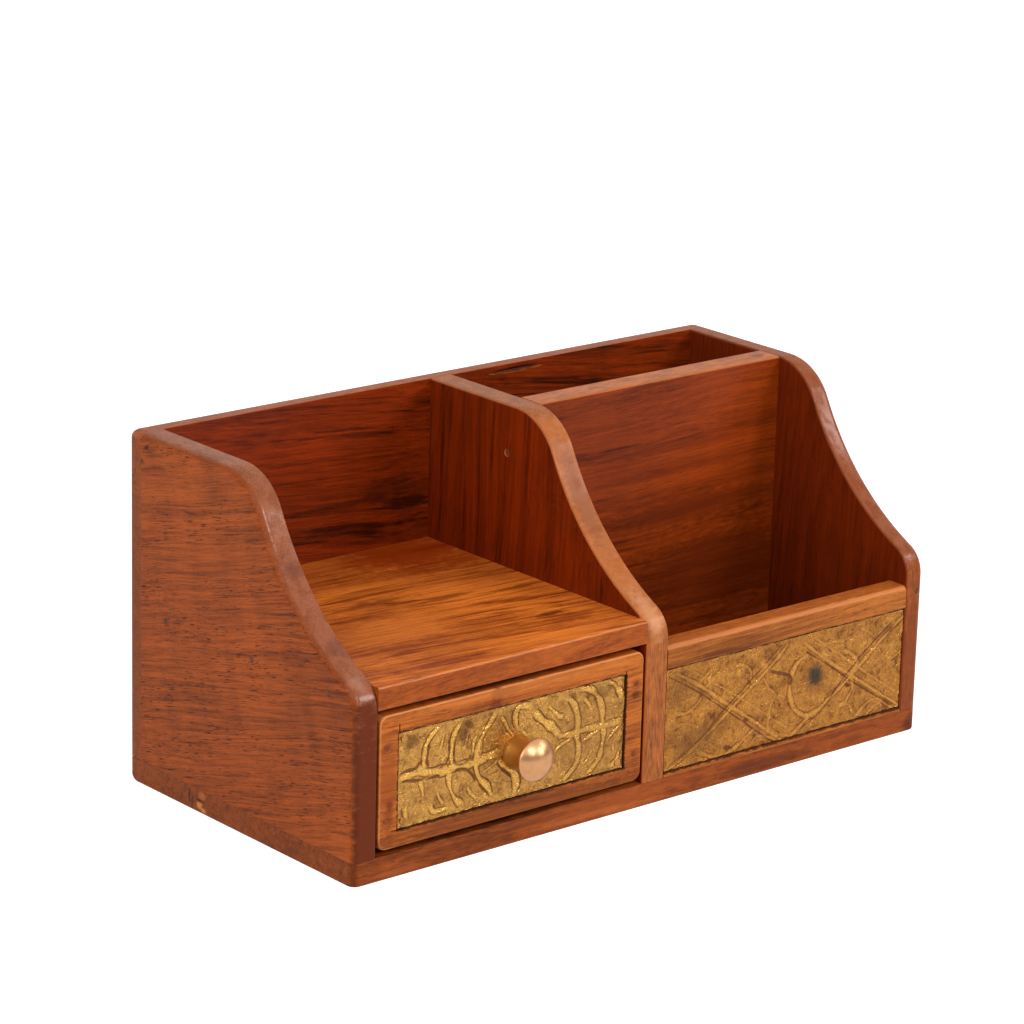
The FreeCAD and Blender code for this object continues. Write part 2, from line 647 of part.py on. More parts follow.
def carcass_brads():
    """The brads of the carcass, one group for each board they are driven through."""
    panel_middle = f"({LEFT} + left_panel_thickness / 2)"
    divider_middle = f"({DIVIDER_LEFT} + divider_thickness / 2)"
    right_middle = f"({RIGHT} - right_panel_thickness / 2)"
    uprights = (panel_middle, divider_middle, right_middle)
    shelf_middle = f"({SHELF_BOTTOM} + shelf_thickness / 2)"
    partition_middle = f"(depth / 2 + {PARTITION_FRONT} + partition_thickness / 2)"
    bin_quarters = [f"({DIVIDER_RIGHT} + {BIN_WIDTH} * {share} / 4)" for share in (1, 3)]
    bay_quarters = [
        f"({LEFT} + left_panel_thickness + drawer_bay_width * {share} / 4)" for share in (1, 3)
    ]
    front_middle = "(bin_front_thickness / 2)"
    rear_middle = "(depth - back_thickness / 2)"

    in_partition = [(partition_middle, "brad_low"), (partition_middle, "brad_high")]
    in_bin_front = [(front_middle, "bin_brad_low"), (front_middle, "bin_brad_high")]
    under_uprights = [(x, y) for x in uprights for y in ("brad_front", "brad_rear")]
    under_boards = [
        (x, y) for x in bin_quarters for y in (front_middle, partition_middle, rear_middle)
    ]
    under_back = [(x, rear_middle) for x in bay_quarters]
    behind_uprights = [(x, z) for x in uprights for z in ("brad_low", "brad_high")]
    behind_shelf = [(x, shelf_middle) for x in bay_quarters]
    return {
        "left_panel_brads": brads(
            "LeftPanelBrads", "YZ_Plane",
            [(y, shelf_middle) for y in ("brad_front", "brad_middle", "brad_rear")],
            (LEFT, FRONT, None), False),
        "divider_left_brads": brads(
            "DividerLeftBrads", "YZ_Plane", in_partition + in_bin_front,
            (DIVIDER_LEFT, FRONT, None), False),
        "divider_right_brads": brads(
            "DividerRightBrads", "YZ_Plane",
            [(y, shelf_middle) for y in ("brad_middle", "brad_rear")],
            (DIVIDER_RIGHT, FRONT, None), True),
        "right_panel_brads": brads(
            "RightPanelBrads", "YZ_Plane", in_partition + in_bin_front,
            (RIGHT, FRONT, None), True),
        "front_edge_brad": brads(
            "FrontEdgeBrad", "XZ_Plane", [(f"{RIGHT} - edge_brad_inset", "edge_brad_height")],
            (None, FRONT, None), True),
        "back_board_brads": brads(
            "BackBoardBrads", "XZ_Plane", behind_uprights + behind_shelf,
            (None, "depth / 2", None), False),
        "base_brads": brads(
            "BaseBrads", "XY_Plane", under_uprights + under_boards + under_back,
            (None, FRONT, None), False),
    }


def drawer_nails():
    """The brads that hold the drawer's box together and the pins of its brass plate."""
    side_middles = (
        f"({DRAWER_LEFT} + drawer_side_thickness / 2)",
        f"({DRAWER_RIGHT} - drawer_side_thickness / 2)",
    )
    low = f"({SIDE_BOTTOM} + drawer_bottom_lift + {GROOVE_HEIGHT} + drawer_brad_inset)"
    high = f"({SIDE_BOTTOM} + drawer_side_height - drawer_brad_inset)"
    back_middle = f"({SIDE_LENGTH} - drawer_back_thickness / 2)"
    in_back = [(back_middle, z) for z in (low, high)]
    plate_left = f"({DRAWER_LEFT} + stile_width + pin_inset)"
    plate_right = f"({DRAWER_RIGHT} - stile_width - pin_inset)"
    plate_low = f"({FACE_BOTTOM} + bottom_rail_width + pin_inset)"
    plate_high = f"({FACE_BOTTOM} + {FACE_HEIGHT} - top_rail_width - pin_inset)"
    corners = [(x, z) for x in (plate_left, plate_right) for z in (plate_low, plate_high)]
    under_back = [(f"({DRAWER_LEFT} + drawer_side_thickness + {BOX_WIDTH} * {share} / 4)",
                   back_middle) for share in (1, 3)]
    return {
        "drawer_front_brads": brads(
            "DrawerFrontBrads", "XZ_Plane", [(x, z) for x in side_middles for z in (low, high)],
            (None, FRONT, None), True, "drawer_brad_length"),
        "drawer_left_brads": brads(
            "DrawerLeftBrads", "YZ_Plane", in_back,
            (DRAWER_LEFT, SIDE_FRONT, None), False, "drawer_brad_length"),
        "drawer_right_brads": brads(
            "DrawerRightBrads", "YZ_Plane", in_back,
            (DRAWER_RIGHT, SIDE_FRONT, None), True, "drawer_brad_length"),
        "drawer_bottom_brads": brads(
            "DrawerBottomBrads", "XY_Plane", under_back,
            (None, SIDE_FRONT, GROOVE_BOTTOM), False, "drawer_brad_length"),
        "drawer_plate_pins": pins(
            "DrawerPlatePins", "XZ_Plane", corners, (None, SHEET_FACE, None)),
    }


def bored(label, body, groups):
    """A board less the holes that its brads or pins fill."""
    holes = doc.addObject("Part::Compound", f"{label}_holes")
    holes.Links = groups
    cut = doc.addObject("Part::Cut", label)
    cut.Base = body
    cut.Tool = holes
    return cut


# ---- The whole pen stand ------------------------------------------------------------------

parts = {**carcass_brads(), **drawer_nails()}
for label, body, nailed_by in (
    ("base_board", base_board(), ("base_brads",)),
    ("back_board", back_board(), ("back_board_brads", "base_brads")),
    ("left_panel", upright("LeftPanel", "left_panel_thickness", LEFT, "XMin"),
     ("left_panel_brads", "back_board_brads", "base_brads")),
    ("centre_divider", upright("Divider", "divider_thickness", DIVIDER_LEFT),
     ("divider_left_brads", "divider_right_brads", "back_board_brads", "base_brads")),
    ("right_panel", upright("RightPanel", "right_panel_thickness",
                            f"{RIGHT} - right_panel_thickness", "XMax"),
     ("right_panel_brads", "front_edge_brad", "back_board_brads", "base_brads")),
    ("shelf_board", shelf_board(),
     ("left_panel_brads", "divider_right_brads", "back_board_brads")),
    ("pen_partition", pen_partition(),
     ("divider_left_brads", "right_panel_brads", "base_brads")),
    ("bin_front", bin_front(), ("divider_left_brads", "right_panel_brads", "base_brads")),
    ("drawer_front", drawer_front(), ("drawer_front_brads", "drawer_plate_pins")),
    ("drawer_left_side", drawer_side("DrawerLeftSide", DRAWER_LEFT,
                                     "drawer_side_thickness - groove_depth"),
     ("drawer_front_brads", "drawer_left_brads")),
    ("drawer_right_side", drawer_side("DrawerRightSide",
                                      f"{DRAWER_RIGHT} - drawer_side_thickness", "0"),
     ("drawer_front_brads", "drawer_right_brads")),
    ("drawer_back", drawer_back(),
     ("drawer_left_brads", "drawer_right_brads", "drawer_bottom_brads")),
    ("drawer_bottom", drawer_bottom(), ("drawer_bottom_brads",)),
    ("drawer_brass_plate", drawer_plate(), ("drawer_plate_pins",)),
):
    parts[label] = bored(label, body, [parts[name] for name in nailed_by])
parts["bin_brass_plate"] = bin_plate()
parts["drawer_knob"] = knob()
parts["knob_screw"] = knob_screw()

for label, item in parts.items():
    item.Label = label
doc.recompute()

for item in doc.Objects:
    if "Invalid" in item.State or "Error" in item.State:
        raise RuntimeError(f"{item.Label} failed: {item.getStatusString()}")
os.makedirs("parts", exist_ok=True)
for label, item in parts.items():
    shape = item.Shape
    if shape.isNull() or not shape.isValid():
        raise RuntimeError(f"{label} has no valid shape")
    shape.exportStep(f"parts/{label}.step")
    print(f"{label}: {len(shape.Solids)} solid(s), {shape.Volume:.1f} mm3")
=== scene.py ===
import bmesh
import bpy
import math
import numpy as np
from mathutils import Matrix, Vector
from mathutils import noise as noise_of


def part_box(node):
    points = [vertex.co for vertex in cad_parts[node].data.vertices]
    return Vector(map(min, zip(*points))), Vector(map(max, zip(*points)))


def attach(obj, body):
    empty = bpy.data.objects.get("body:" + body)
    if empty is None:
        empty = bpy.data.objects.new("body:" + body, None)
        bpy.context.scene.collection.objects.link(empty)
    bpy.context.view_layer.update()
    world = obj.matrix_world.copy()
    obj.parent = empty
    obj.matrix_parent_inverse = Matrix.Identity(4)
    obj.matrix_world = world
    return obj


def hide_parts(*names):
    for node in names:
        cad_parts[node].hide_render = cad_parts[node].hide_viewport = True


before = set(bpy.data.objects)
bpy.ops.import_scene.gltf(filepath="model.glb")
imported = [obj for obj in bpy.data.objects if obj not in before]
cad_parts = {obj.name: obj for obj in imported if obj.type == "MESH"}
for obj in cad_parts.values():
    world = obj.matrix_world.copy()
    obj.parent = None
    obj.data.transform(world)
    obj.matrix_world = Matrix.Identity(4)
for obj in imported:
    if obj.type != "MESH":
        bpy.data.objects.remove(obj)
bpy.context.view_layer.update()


# ---- Base board ---------------------------------------------------------------------------
# One oiled hardwood board that everything else is nailed to. Its corners are rounded with a
# rasp, the two at the rear also from below, and its edges are broken with sandpaper.

X, Y, Z = range(3)
MM = 0.001
BASE_CORNER = 3.0 * MM
BASE_UNDERSIDE = 0.7 * MM
SAWN_EDGE = 0.5 * MM
RASP_ROUND = 7.0 * MM
RASP_STROKE = (26.0 * MM, 3.0 * MM, -3.0 * MM)
RASP_MARGIN = 5.0 * MM
RASP_STEPS = 14
TOUCHING = 0.05 * MM
MERGED_BELOW = 0.005 * MM
DENT_RADIUS = 1.4 * MM
DENT_DEPTH = 0.45 * MM
DENT_SIDES, DENT_RINGS = 24, 12
HEAD_SPREAD = 4.0 * MM
SMOOTH_BELOW = math.radians(40)
POLISH = 0.05
HANDLED_GLOSS = 0.4
COAT_ROUGHNESS = 0.2
WOOD_SPECULAR = 0.10
PORE_FILLER = (0.008, 0.003, 0.002, 1.0)
FILLER_SHARE = 0.6


def deselect():
    """Leave nothing selected, because every operator works on all that is."""
    for item in bpy.context.selected_objects:
        item.select_set(False)


def take(piece):
    """Make one piece the only one that operators work on."""
    deselect()
    piece.select_set(True)
    bpy.context.view_layer.objects.active = piece


def apply_place(piece):
    """Move an object's place, turn and size into its mesh."""
    take(piece)
    bpy.ops.object.transform_apply(location=True, rotation=True, scale=True)


def block(low, high):
    """A plain block between two corners."""
    deselect()
    low, high = Vector(low), Vector(high)
    bpy.ops.mesh.primitive_cube_add(size=1, location=(low + high) / 2, scale=high - low)
    apply_place(bpy.context.object)
    return bpy.context.object


def sawn_board(node):
    """A board as large as its solid, ready to be shaped."""
    return block(*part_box(node))


def pick_edges(piece, wanted):
    """Select, in edit mode, the edges whose two ends pass the test."""
    take(piece)
    bpy.ops.object.mode_set(mode="EDIT")
    bpy.ops.mesh.select_mode(type="EDGE")
    bpy.ops.mesh.select_all(action="DESELECT")
    sheet = bmesh.from_edit_mesh(piece.data)
    for edge in sheet.edges:
        edge.select_set(wanted(edge.verts[0].co, edge.verts[1].co))
    bmesh.update_edit_mesh(piece.data)


def round_over(piece, radius, wanted, segments=4):
    """Round the edges that the test picks."""
    pick_edges(piece, wanted)
    bpy.ops.mesh.bevel(offset=radius, segments=segments, profile=0.5, affect="EDGES",
                       clamp_overlap=True)
    bpy.ops.object.mode_set(mode="OBJECT")


def level(one, other, axis, place):
    """Whether both ends of an edge lie at the same place along an axis."""
    return abs(one[axis] - place) < TOUCHING and abs(other[axis] - place) < TOUCHING


def runs_along(one, other, axis):
    """Whether an edge runs straight along an axis."""
    step = one - other
    return step.length - abs(step[axis]) < TOUCHING


def edges_at(*places, along=None):
    """A test for the edges that lie at every place, each an axis and a distance along it, and
    that run along an axis, if one is given."""
    def wanted(one, other):
        placed = all(level(one, other, axis, distance) for axis, distance in places)
        return placed and (along is None or runs_along(one, other, along))
    return wanted


def cut_away(piece, cutters):
    """Take the cutters' shapes out of a piece and throw them away."""
    for cutter in cutters:
        take(piece)
        cut = piece.modifiers.new("cut", "BOOLEAN")
        cut.object = cutter
        cut.solver = "EXACT"
        bpy.ops.object.modifier_apply(modifier=cut.name)
        bpy.data.objects.remove(cutter)


def join(parts):
    """Make one piece of several."""
    take(parts[0])
    for part in parts[1:]:
        part.select_set(True)
    bpy.ops.object.join()
    return bpy.context.object


def extrude(*step):
    """Pull what is selected away by a step, leaving sides behind it."""
    bpy.ops.mesh.extrude_region_move(TRANSFORM_OT_translate={"value": step})


def draw_outline(start, *steps):
    """Put down one point, in edit mode, and pull it along the steps of an outline."""
    deselect()
    bpy.ops.mesh.primitive_plane_add(size=1, location=start)
    apply_place(bpy.context.object)
    bpy.ops.object.mode_set(mode="EDIT")
    bpy.ops.mesh.select_mode(type="VERT")
    bpy.ops.mesh.merge(type="CENTER")
    for step in steps:
        extrude(*step)


def saw_out(*length):
    """Fill the outline, pull the face along the board and leave edit mode."""
    bpy.ops.mesh.select_all(action="SELECT")
    bpy.ops.mesh.remove_doubles(threshold=MERGED_BELOW)
    bpy.ops.mesh.edge_face_add()
    extrude(*length)
    bpy.ops.mesh.select_all(action="SELECT")
    bpy.ops.mesh.normals_make_consistent(inside=False)
    bpy.ops.object.mode_set(mode="OBJECT")
    return bpy.context.object


def rasp_strokes(low, high):
    """Cutters for the lower rear corners: bars with a hollow edge that run out of the wood."""
    strokes = []
    for end, inward in ((low.x - MM, 1), (high.x + MM, -1)):
        draw_outline((end, high.y, low.z + RASP_ROUND))
        bpy.ops.mesh.spin(steps=RASP_STEPS, angle=math.pi / 2, axis=(1, 0, 0),
                          center=(end, high.y - RASP_ROUND, low.z + RASP_ROUND))
        extrude(0, 0, -RASP_MARGIN)
        extrude(0, RASP_ROUND + RASP_MARGIN, 0)
        extrude(0, 0, RASP_ROUND + RASP_MARGIN)
        extrude(0, -RASP_MARGIN, 0)
        strokes.append(saw_out(inward * RASP_STROKE[0], *RASP_STROKE[1:]))
    return strokes


def brad_heads(node, axis, outward):
    """The middles of a group's brad heads, on the face that they are driven from."""
    low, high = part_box(node)
    face = (high if outward > 0 else low)[axis]
    heads = []
    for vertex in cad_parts[node].data.vertices:
        if abs(vertex.co[axis] - face) < TOUCHING:
            near = [head for head in heads if (head[0] - vertex.co).length < HEAD_SPREAD]
            if near:
                near[0].append(vertex.co)
            else:
                heads.append([vertex.co])
    return [Vector([(min(point[i] for point in head) + max(point[i] for point in head)) / 2
                    for i in range(3)]) for head in heads]


def ball(place, radius, stretch, sides, rings):
    """A stretched ball, to cut a hollow with."""
    deselect()
    bpy.ops.mesh.primitive_uv_sphere_add(segments=sides, ring_count=rings, radius=radius,
                                         location=place, scale=stretch)
    return bpy.context.object


def dent_round_brads(piece, node, axis, outward):
    """Sink a shallow hollow round each brad, as the hammer and the filler leave it."""
    flat = [1.0, 1.0, 1.0]
    flat[axis] = DENT_DEPTH / DENT_RADIUS
    hollows = [ball(place, DENT_RADIUS, flat, DENT_SIDES, DENT_RINGS)
               for place in brad_heads(node, axis, outward)]
    cut_away(piece, [join(hollows)])


def finish(piece, name, body, slot, material, *nodes):
    """Name a piece, smooth it, give it its material and join it to the frame."""
    piece.name = name
    piece.data.name = name
    apply_place(piece)
    bpy.ops.object.shade_smooth_by_angle(angle=SMOOTH_BELOW)
    if slot in ("carcass_wood", "drawer_wood"):
        flat = piece.modifiers.new("flat_faces", "WEIGHTED_NORMAL")
        flat.keep_sharp = True
        bpy.ops.object.modifier_apply(modifier=flat.name)
    piece.data.materials.append(material)
    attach(piece, body)
    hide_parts(*nodes)


def new_group(name, inputs, outputs):
    """An empty shader group with named sockets. Returns its tree and its inner sockets."""
    tree = bpy.data.node_groups.new(name, "ShaderNodeTree")
    for label, kind, value in inputs:
        socket = tree.interface.new_socket(label, in_out="INPUT", socket_type=f"NodeSocket{kind}")
        if value is not None:
            socket.default_value = value
    for label, kind in outputs:
        tree.interface.new_socket(label, in_out="OUTPUT", socket_type=f"NodeSocket{kind}")
    given = tree.nodes.new("NodeGroupInput").outputs
    wanted = tree.nodes.new("NodeGroupOutput").inputs
    return tree, given, wanted


def plug(tree, socket, value):
    """Feed a socket with a value or with another node's output."""
    if isinstance(value, bpy.types.NodeSocket):
        tree.links.new(value, socket)
    else:
        socket.default_value = value


def calc(tree, operation, first, *others, clamp=False):
    """A Math node's result. More than two values go through a row of nodes, and only the last
    of those is clamped."""
    for other in others[:-1]:
        first = calc(tree, operation, first, other)
    made = tree.nodes.new("ShaderNodeMath")
    made.operation = operation
    made.use_clamp = clamp
    for socket, value in zip(made.inputs, (first, *others[-1:])):
        plug(tree, socket, value)
    return made.outputs[0]


def above(tree, value, middle=0.5):
    """How far a value is above its middle."""
    return calc(tree, "SUBTRACT", value, middle)


def total(tree, start, *shares, clamp=False):
    """A start with several values added to it, each multiplied by its amount."""
    products = [calc(tree, "MULTIPLY", value, amount) for value, amount in shares]
    return calc(tree, "ADD", start, *products, clamp=clamp)


def vector_calc(tree, operation, *values, result="Vector"):
    """A Vector Math node's result."""
    made = tree.nodes.new("ShaderNodeVectorMath")
    made.operation = operation
    for socket, value in zip(made.inputs, values):
        plug(tree, socket, value)
    return made.outputs[result]


def noise(tree, vector, stretch, detail=2.0, roughness=0.5, result="Fac"):
    """Noise on a vector that is first multiplied by a stretch for each axis."""
    made = tree.nodes.new("ShaderNodeTexNoise")
    made.inputs["Scale"].default_value = 1.0
    made.inputs["Detail"].default_value = detail
    made.inputs["Roughness"].default_value = roughness
    plug(tree, made.inputs["Vector"], vector_calc(tree, "MULTIPLY", vector, stretch))
    return made.outputs[result]


def rise(tree, value, low, high):
    """Zero below low, one above high and a smooth slope between them."""
    made = tree.nodes.new("ShaderNodeMapRange")
    made.interpolation_type = "SMOOTHSTEP"
    for name, given in (("Value", value), ("From Min", low), ("From Max", high)):
        plug(tree, made.inputs[name], given)
    return made.outputs["Result"]


def blend(tree, share, one, other):
    """Two colours mixed by a share from 0 to 1."""
    made = tree.nodes.new("ShaderNodeMix")
    made.data_type = "RGBA"
    plug(tree, made.inputs["Factor"], share)
    plug(tree, made.inputs[6], one)
    plug(tree, made.inputs[7], other)
    return made.outputs[2]


def srgb(red, green, blue):
    """A colour written in the usual 0 to 255 steps."""
    steps = [value / 255 for value in (red, green, blue)]
    return [(s / 12.92 if s <= 0.04045 else ((s + 0.055) / 1.055) ** 2.4) for s in steps] + [1.0]


def in_millimetres(tree, vector):
    """A place in metres turned into millimetres."""
    place = vector_calc(tree, "SCALE", vector)
    place.node.inputs["Scale"].default_value = 1 / MM
    return place


def stray(tree, place, stretch, reach):
    """A place moved about by soft noise, by up to half of the reach along each axis."""
    drift = noise(tree, place, stretch, result="Color")
    drift = vector_calc(tree, "SUBTRACT", drift, (0.5, 0.5, 0.5))
    return vector_calc(tree, "ADD", place, vector_calc(tree, "MULTIPLY", drift, reach))


def split(tree, vector):
    """A vector's three parts, by axis."""
    made = tree.nodes.new("ShaderNodeSeparateXYZ")
    plug(tree, made.inputs[0], vector)
    return made.outputs


def hardwood_group():
    """Polished hardwood with its grain along the vector's X axis. How fine each noise is
    along and across the grain is given per millimetre."""
    tree, given, wanted = new_group("PolishedHardwood", [
        ("Vector", "Vector", None),
        ("Pale Wood", "Color", srgb(190, 100, 50)),
        ("Dark Wood", "Color", srgb(90, 35, 14)),
        ("Ring Width", "Float", 4.0),
        ("Figure", "Float", 0.4),
        ("Streaks", "Float", 0.4),
        ("Pores", "Float", 0.5),
        ("Patches", "Float", 0.3),
        ("Ripple", "Float", 0.2),
        ("Contrast", "Float", 1.0),
    ], [("Color", "Color"), ("Roughness", "Float"), ("Height", "Float")])
    place = in_millimetres(tree, given["Vector"])
    bent = stray(tree, place, (0.010, 0.025, 0.025), (0.0, 9.0, 9.0))
    across = vector_calc(tree, "MULTIPLY", bent, (0.0, 1.0, 1.0))
    from_pith = vector_calc(tree, "LENGTH", across, result="Value")
    ring = calc(tree, "FRACT", calc(tree, "DIVIDE", from_pith, given["Ring Width"]))
    late = calc(tree, "MULTIPLY", rise(tree, ring, 0.15, 0.92), rise(tree, ring, 1.0, 0.88))

    fibre = noise(tree, bent, (0.06, 2.4, 2.4), 3.0, 0.6)
    strand = noise(tree, bent, (0.02, 0.70, 0.70), 4.0, 0.62)
    fleck = noise(tree, place, (1.3, 3.8, 3.8), 2.0, 0.6)
    streak = rise(tree, noise(tree, bent, (0.012, 0.30, 0.30), 4.0, 0.6), 0.55, 0.68)
    patch = noise(tree, place, (0.014, 0.03, 0.03))
    ripple = noise(tree, place, (0.13, 0.018, 0.018))
    crowd = rise(tree, noise(tree, bent, (0.016, 0.09, 0.09)), 0.30, 0.58)
    pore = rise(tree, noise(tree, bent, (0.24, 3.0, 3.0), 1.0, 0.4), 0.60, 0.70)
    filled = calc(tree, "MULTIPLY", pore, crowd, given["Pores"], clamp=True)

    grain = total(tree, 0.0, (above(tree, fibre), 0.85), (above(tree, strand), 1.1),
                  (above(tree, fleck), 0.4))
    tone = total(tree, 0.36, (grain, given["Contrast"]),
                 (above(tree, late, 0.3), given["Figure"]), (streak, given["Streaks"]),
                 (above(tree, ripple), given["Ripple"]), (above(tree, patch), given["Patches"]),
                 clamp=True)
    colour = blend(tree, tone, given["Pale Wood"], given["Dark Wood"])
    in_pores = blend(tree, FILLER_SHARE, given["Dark Wood"], PORE_FILLER)
    plug(tree, wanted["Color"], blend(tree, filled, colour, in_pores))
    plug(tree, wanted["Roughness"], total(tree, 0.34, (fibre, 0.16), (filled, 0.2)))
    hills = noise(tree, place, (0.022, 0.05, 0.05), 1.0)
    plug(tree, wanted["Height"],
         total(tree, 0.0, (hills, 0.30), (strand, 0.02), (filled, -0.04)))
    return tree


def arris_wear_and_highlight_group():
    """Polish rubbed thin where a board's faces meet, unevenly along the edge; on the shelf and
    the drawer front the paler arris colour is a painted highlight.
    """
    tree, given, wanted = new_group("ArrisWearAndHighlight", [
        ("Color", "Color", (0.5, 0.5, 0.5, 1.0)),
        ("Wear And Highlight", "Color", srgb(200, 125, 75)),
        ("Amount", "Float", 0.6),
        ("Vector", "Vector", None),
        ("Normal", "Vector", None),
    ], [("Color", "Color")])
    facing = split(tree, vector_calc(tree, "ABSOLUTE", given["Normal"]))
    square_on = calc(tree, "MAXIMUM", facing["X"], facing["Y"], facing["Z"])
    uneven = noise(tree, given["Vector"], (260.0, 260.0, 260.0), 3.0, 0.6)
    slope = calc(tree, "MULTIPLY", calc(tree, "SUBTRACT", 1.0, square_on),
                 calc(tree, "ADD", 0.45, uneven))
    mask = calc(tree, "MULTIPLY", rise(tree, slope, 0.02, 0.16), given["Amount"])
    plug(tree, wanted["Color"], blend(tree, mask, given["Color"], given["Wear And Highlight"]))
    return tree


def sawn_edge_group():
    """End grain and edges take the polish differently from a board's two broad faces, and
    shine more where hands rub their slopes."""
    tree, given, wanted = new_group("SawnEdge", [
        ("Color", "Color", (0.5, 0.5, 0.5, 1.0)),
        ("Edge Tint", "Color", srgb(180, 115, 70)),
        ("Amount", "Float", 0.6),
        ("Broad Face", "Vector", (0.0, 0.0, 1.0)),
        ("Vector", "Vector", None),
        ("Normal", "Vector", None),
    ], [("Color", "Color"), ("Gloss", "Float")])
    facing = vector_calc(tree, "DOT_PRODUCT", given["Normal"], given["Broad Face"],
                         result="Value")
    edge = rise(tree, calc(tree, "ABSOLUTE", facing), 0.80, 0.35)
    blotch = rise(tree, noise(tree, given["Vector"], (120.0, 260.0, 260.0), 4.0, 0.6), 0.36, 0.64)
    hair = noise(tree, given["Vector"], (220.0, 1800.0, 1800.0), 3.0, 0.6)
    shade = total(tree, 0.0, (above(tree, blotch), 0.32), (above(tree, hair), 1.9))
    tint = vector_calc(tree, "SCALE", given["Edge Tint"])
    plug(tree, tint.node.inputs["Scale"], calc(tree, "SUBTRACT", 1.0, shade))
    mask = calc(tree, "MULTIPLY", edge, given["Amount"])
    plug(tree, wanted["Color"], blend(tree, mask, given["Color"], tint))
    upward = split(tree, given["Normal"])["Z"]
    sloping = calc(tree, "MULTIPLY", rise(tree, upward, 0.05, 0.4),
                   rise(tree, upward, 1.0, 0.85))
    plug(tree, wanted["Gloss"],
         calc(tree, "MULTIPLY", sloping, rise(tree, blotch, 1.3, 0.2), edge))
    return tree


def mark_group():
    """One spot of another colour: a knot, a stain, a darker streak, painted shade or a painted
    highlight, in a board or a sheet. Its middle and its reach are in millimetres."""
    tree, given, wanted = new_group("Mark", [
        ("Color", "Color", (0.5, 0.5, 0.5, 1.0)),
        ("Tint", "Color", srgb(60, 24, 8)),
        ("Amount", "Float", 0.8),
        ("Vector", "Vector", None),
        ("Middle", "Vector", (0.0, 0.0, 0.0)),
        ("Reach", "Vector", (5.0, 5.0, 5.0)),
    ], [("Color", "Color")])
    place = in_millimetres(tree, given["Vector"])
    away = vector_calc(tree, "DIVIDE", vector_calc(tree, "SUBTRACT", place, given["Middle"]),
                       given["Reach"])
    ragged = noise(tree, place, (0.25, 0.25, 0.7), 4.0, 0.6)
    gap = total(tree, vector_calc(tree, "LENGTH", away, result="Value"),
                (above(tree, ragged), 1.3))
    mask = calc(tree, "MULTIPLY", rise(tree, gap, 1.1, 0.35), given["Amount"])
    plug(tree, wanted["Color"], blend(tree, mask, given["Color"], given["Tint"]))
    return tree


def seam_group():
    """The dark, chipped line that glue and dirt leave round a recess in a board's front."""
    tree, given, wanted = new_group("RecessSeam", [
        ("Color", "Color", (0.5, 0.5, 0.5, 1.0)),
        ("Tint", "Color", srgb(52, 22, 12)),
        ("Width", "Float", 0.8),
        ("Vector", "Vector", None),
        ("Middle", "Vector", (0.0, 0.0, 0.0)),
        ("Half Size", "Vector", (10.0, 10.0, 10.0)),
    ], [("Color", "Color")])
    place = in_millimetres(tree, given["Vector"])
    away = vector_calc(tree, "ABSOLUTE", vector_calc(tree, "SUBTRACT", place, given["Middle"]))
    outside = split(tree, vector_calc(tree, "SUBTRACT", away, given["Half Size"]))
    gap = calc(tree, "MAXIMUM", outside["X"], outside["Z"])
    ragged = rise(tree, noise(tree, place, (0.35, 0.35, 0.9), 4.0, 0.7), 0.36, 0.62)
    reach = total(tree, 0.12, (given["Width"], ragged))
    far = calc(tree, "DIVIDE", calc(tree, "ABSOLUTE", gap), reach)
    mask = calc(tree, "MULTIPLY", rise(tree, far, 1.0, 0.4), 0.9)
    plug(tree, wanted["Color"], blend(tree, mask, given["Color"], given["Tint"]))
    return tree


HARDWOOD = hardwood_group()
ARRIS_WEAR_AND_HIGHLIGHT = arris_wear_and_highlight_group()
SAWN_EDGE_TINT = sawn_edge_group()
MARK = mark_group()
RECESS_SEAM = seam_group()
GRAIN_TURNS = {"X": (0.0, 0.0, 0.0), "Y": (0.0, 0.0, -90.0), "Z": (0.0, 90.0, 0.0)}


def place_group(tree, group, values):
    """Put a shader group into a material and feed its sockets by name."""
    placed = tree.nodes.new("ShaderNodeGroup")
    placed.node_tree = group
    for socket, value in values.items():
        plug(tree, placed.inputs[socket], value)
    return placed.outputs


def new_material(name):
    """A new material with its tree, its shader and the places it reads."""
    material = bpy.data.materials.new(name)
    material.use_nodes = True
    tree = material.node_tree
    places = tree.nodes.new("ShaderNodeTexCoord").outputs
    return material, tree, tree.nodes["Principled BSDF"], places


def raise_bumps(tree, shader, height, distance):
    """Let a height show on the shader's surface."""
    bump = tree.nodes.new("ShaderNodeBump")
    bump.inputs["Distance"].default_value = distance
    plug(tree, bump.inputs["Height"], height)
    plug(tree, shader.inputs["Normal"], bump.outputs["Normal"])


def add_marks(tree, colour, place, marks):
    """A colour with spots laid over it: each mark is a tint, an amount, a middle and a reach."""
    for tint, amount, middle, reach in marks:
        colour = place_group(tree, MARK, {
            "Color": colour, "Tint": srgb(*tint), "Amount": amount, "Vector": place,
            "Middle": middle, "Reach": reach,
        })["Color"]
    return colour


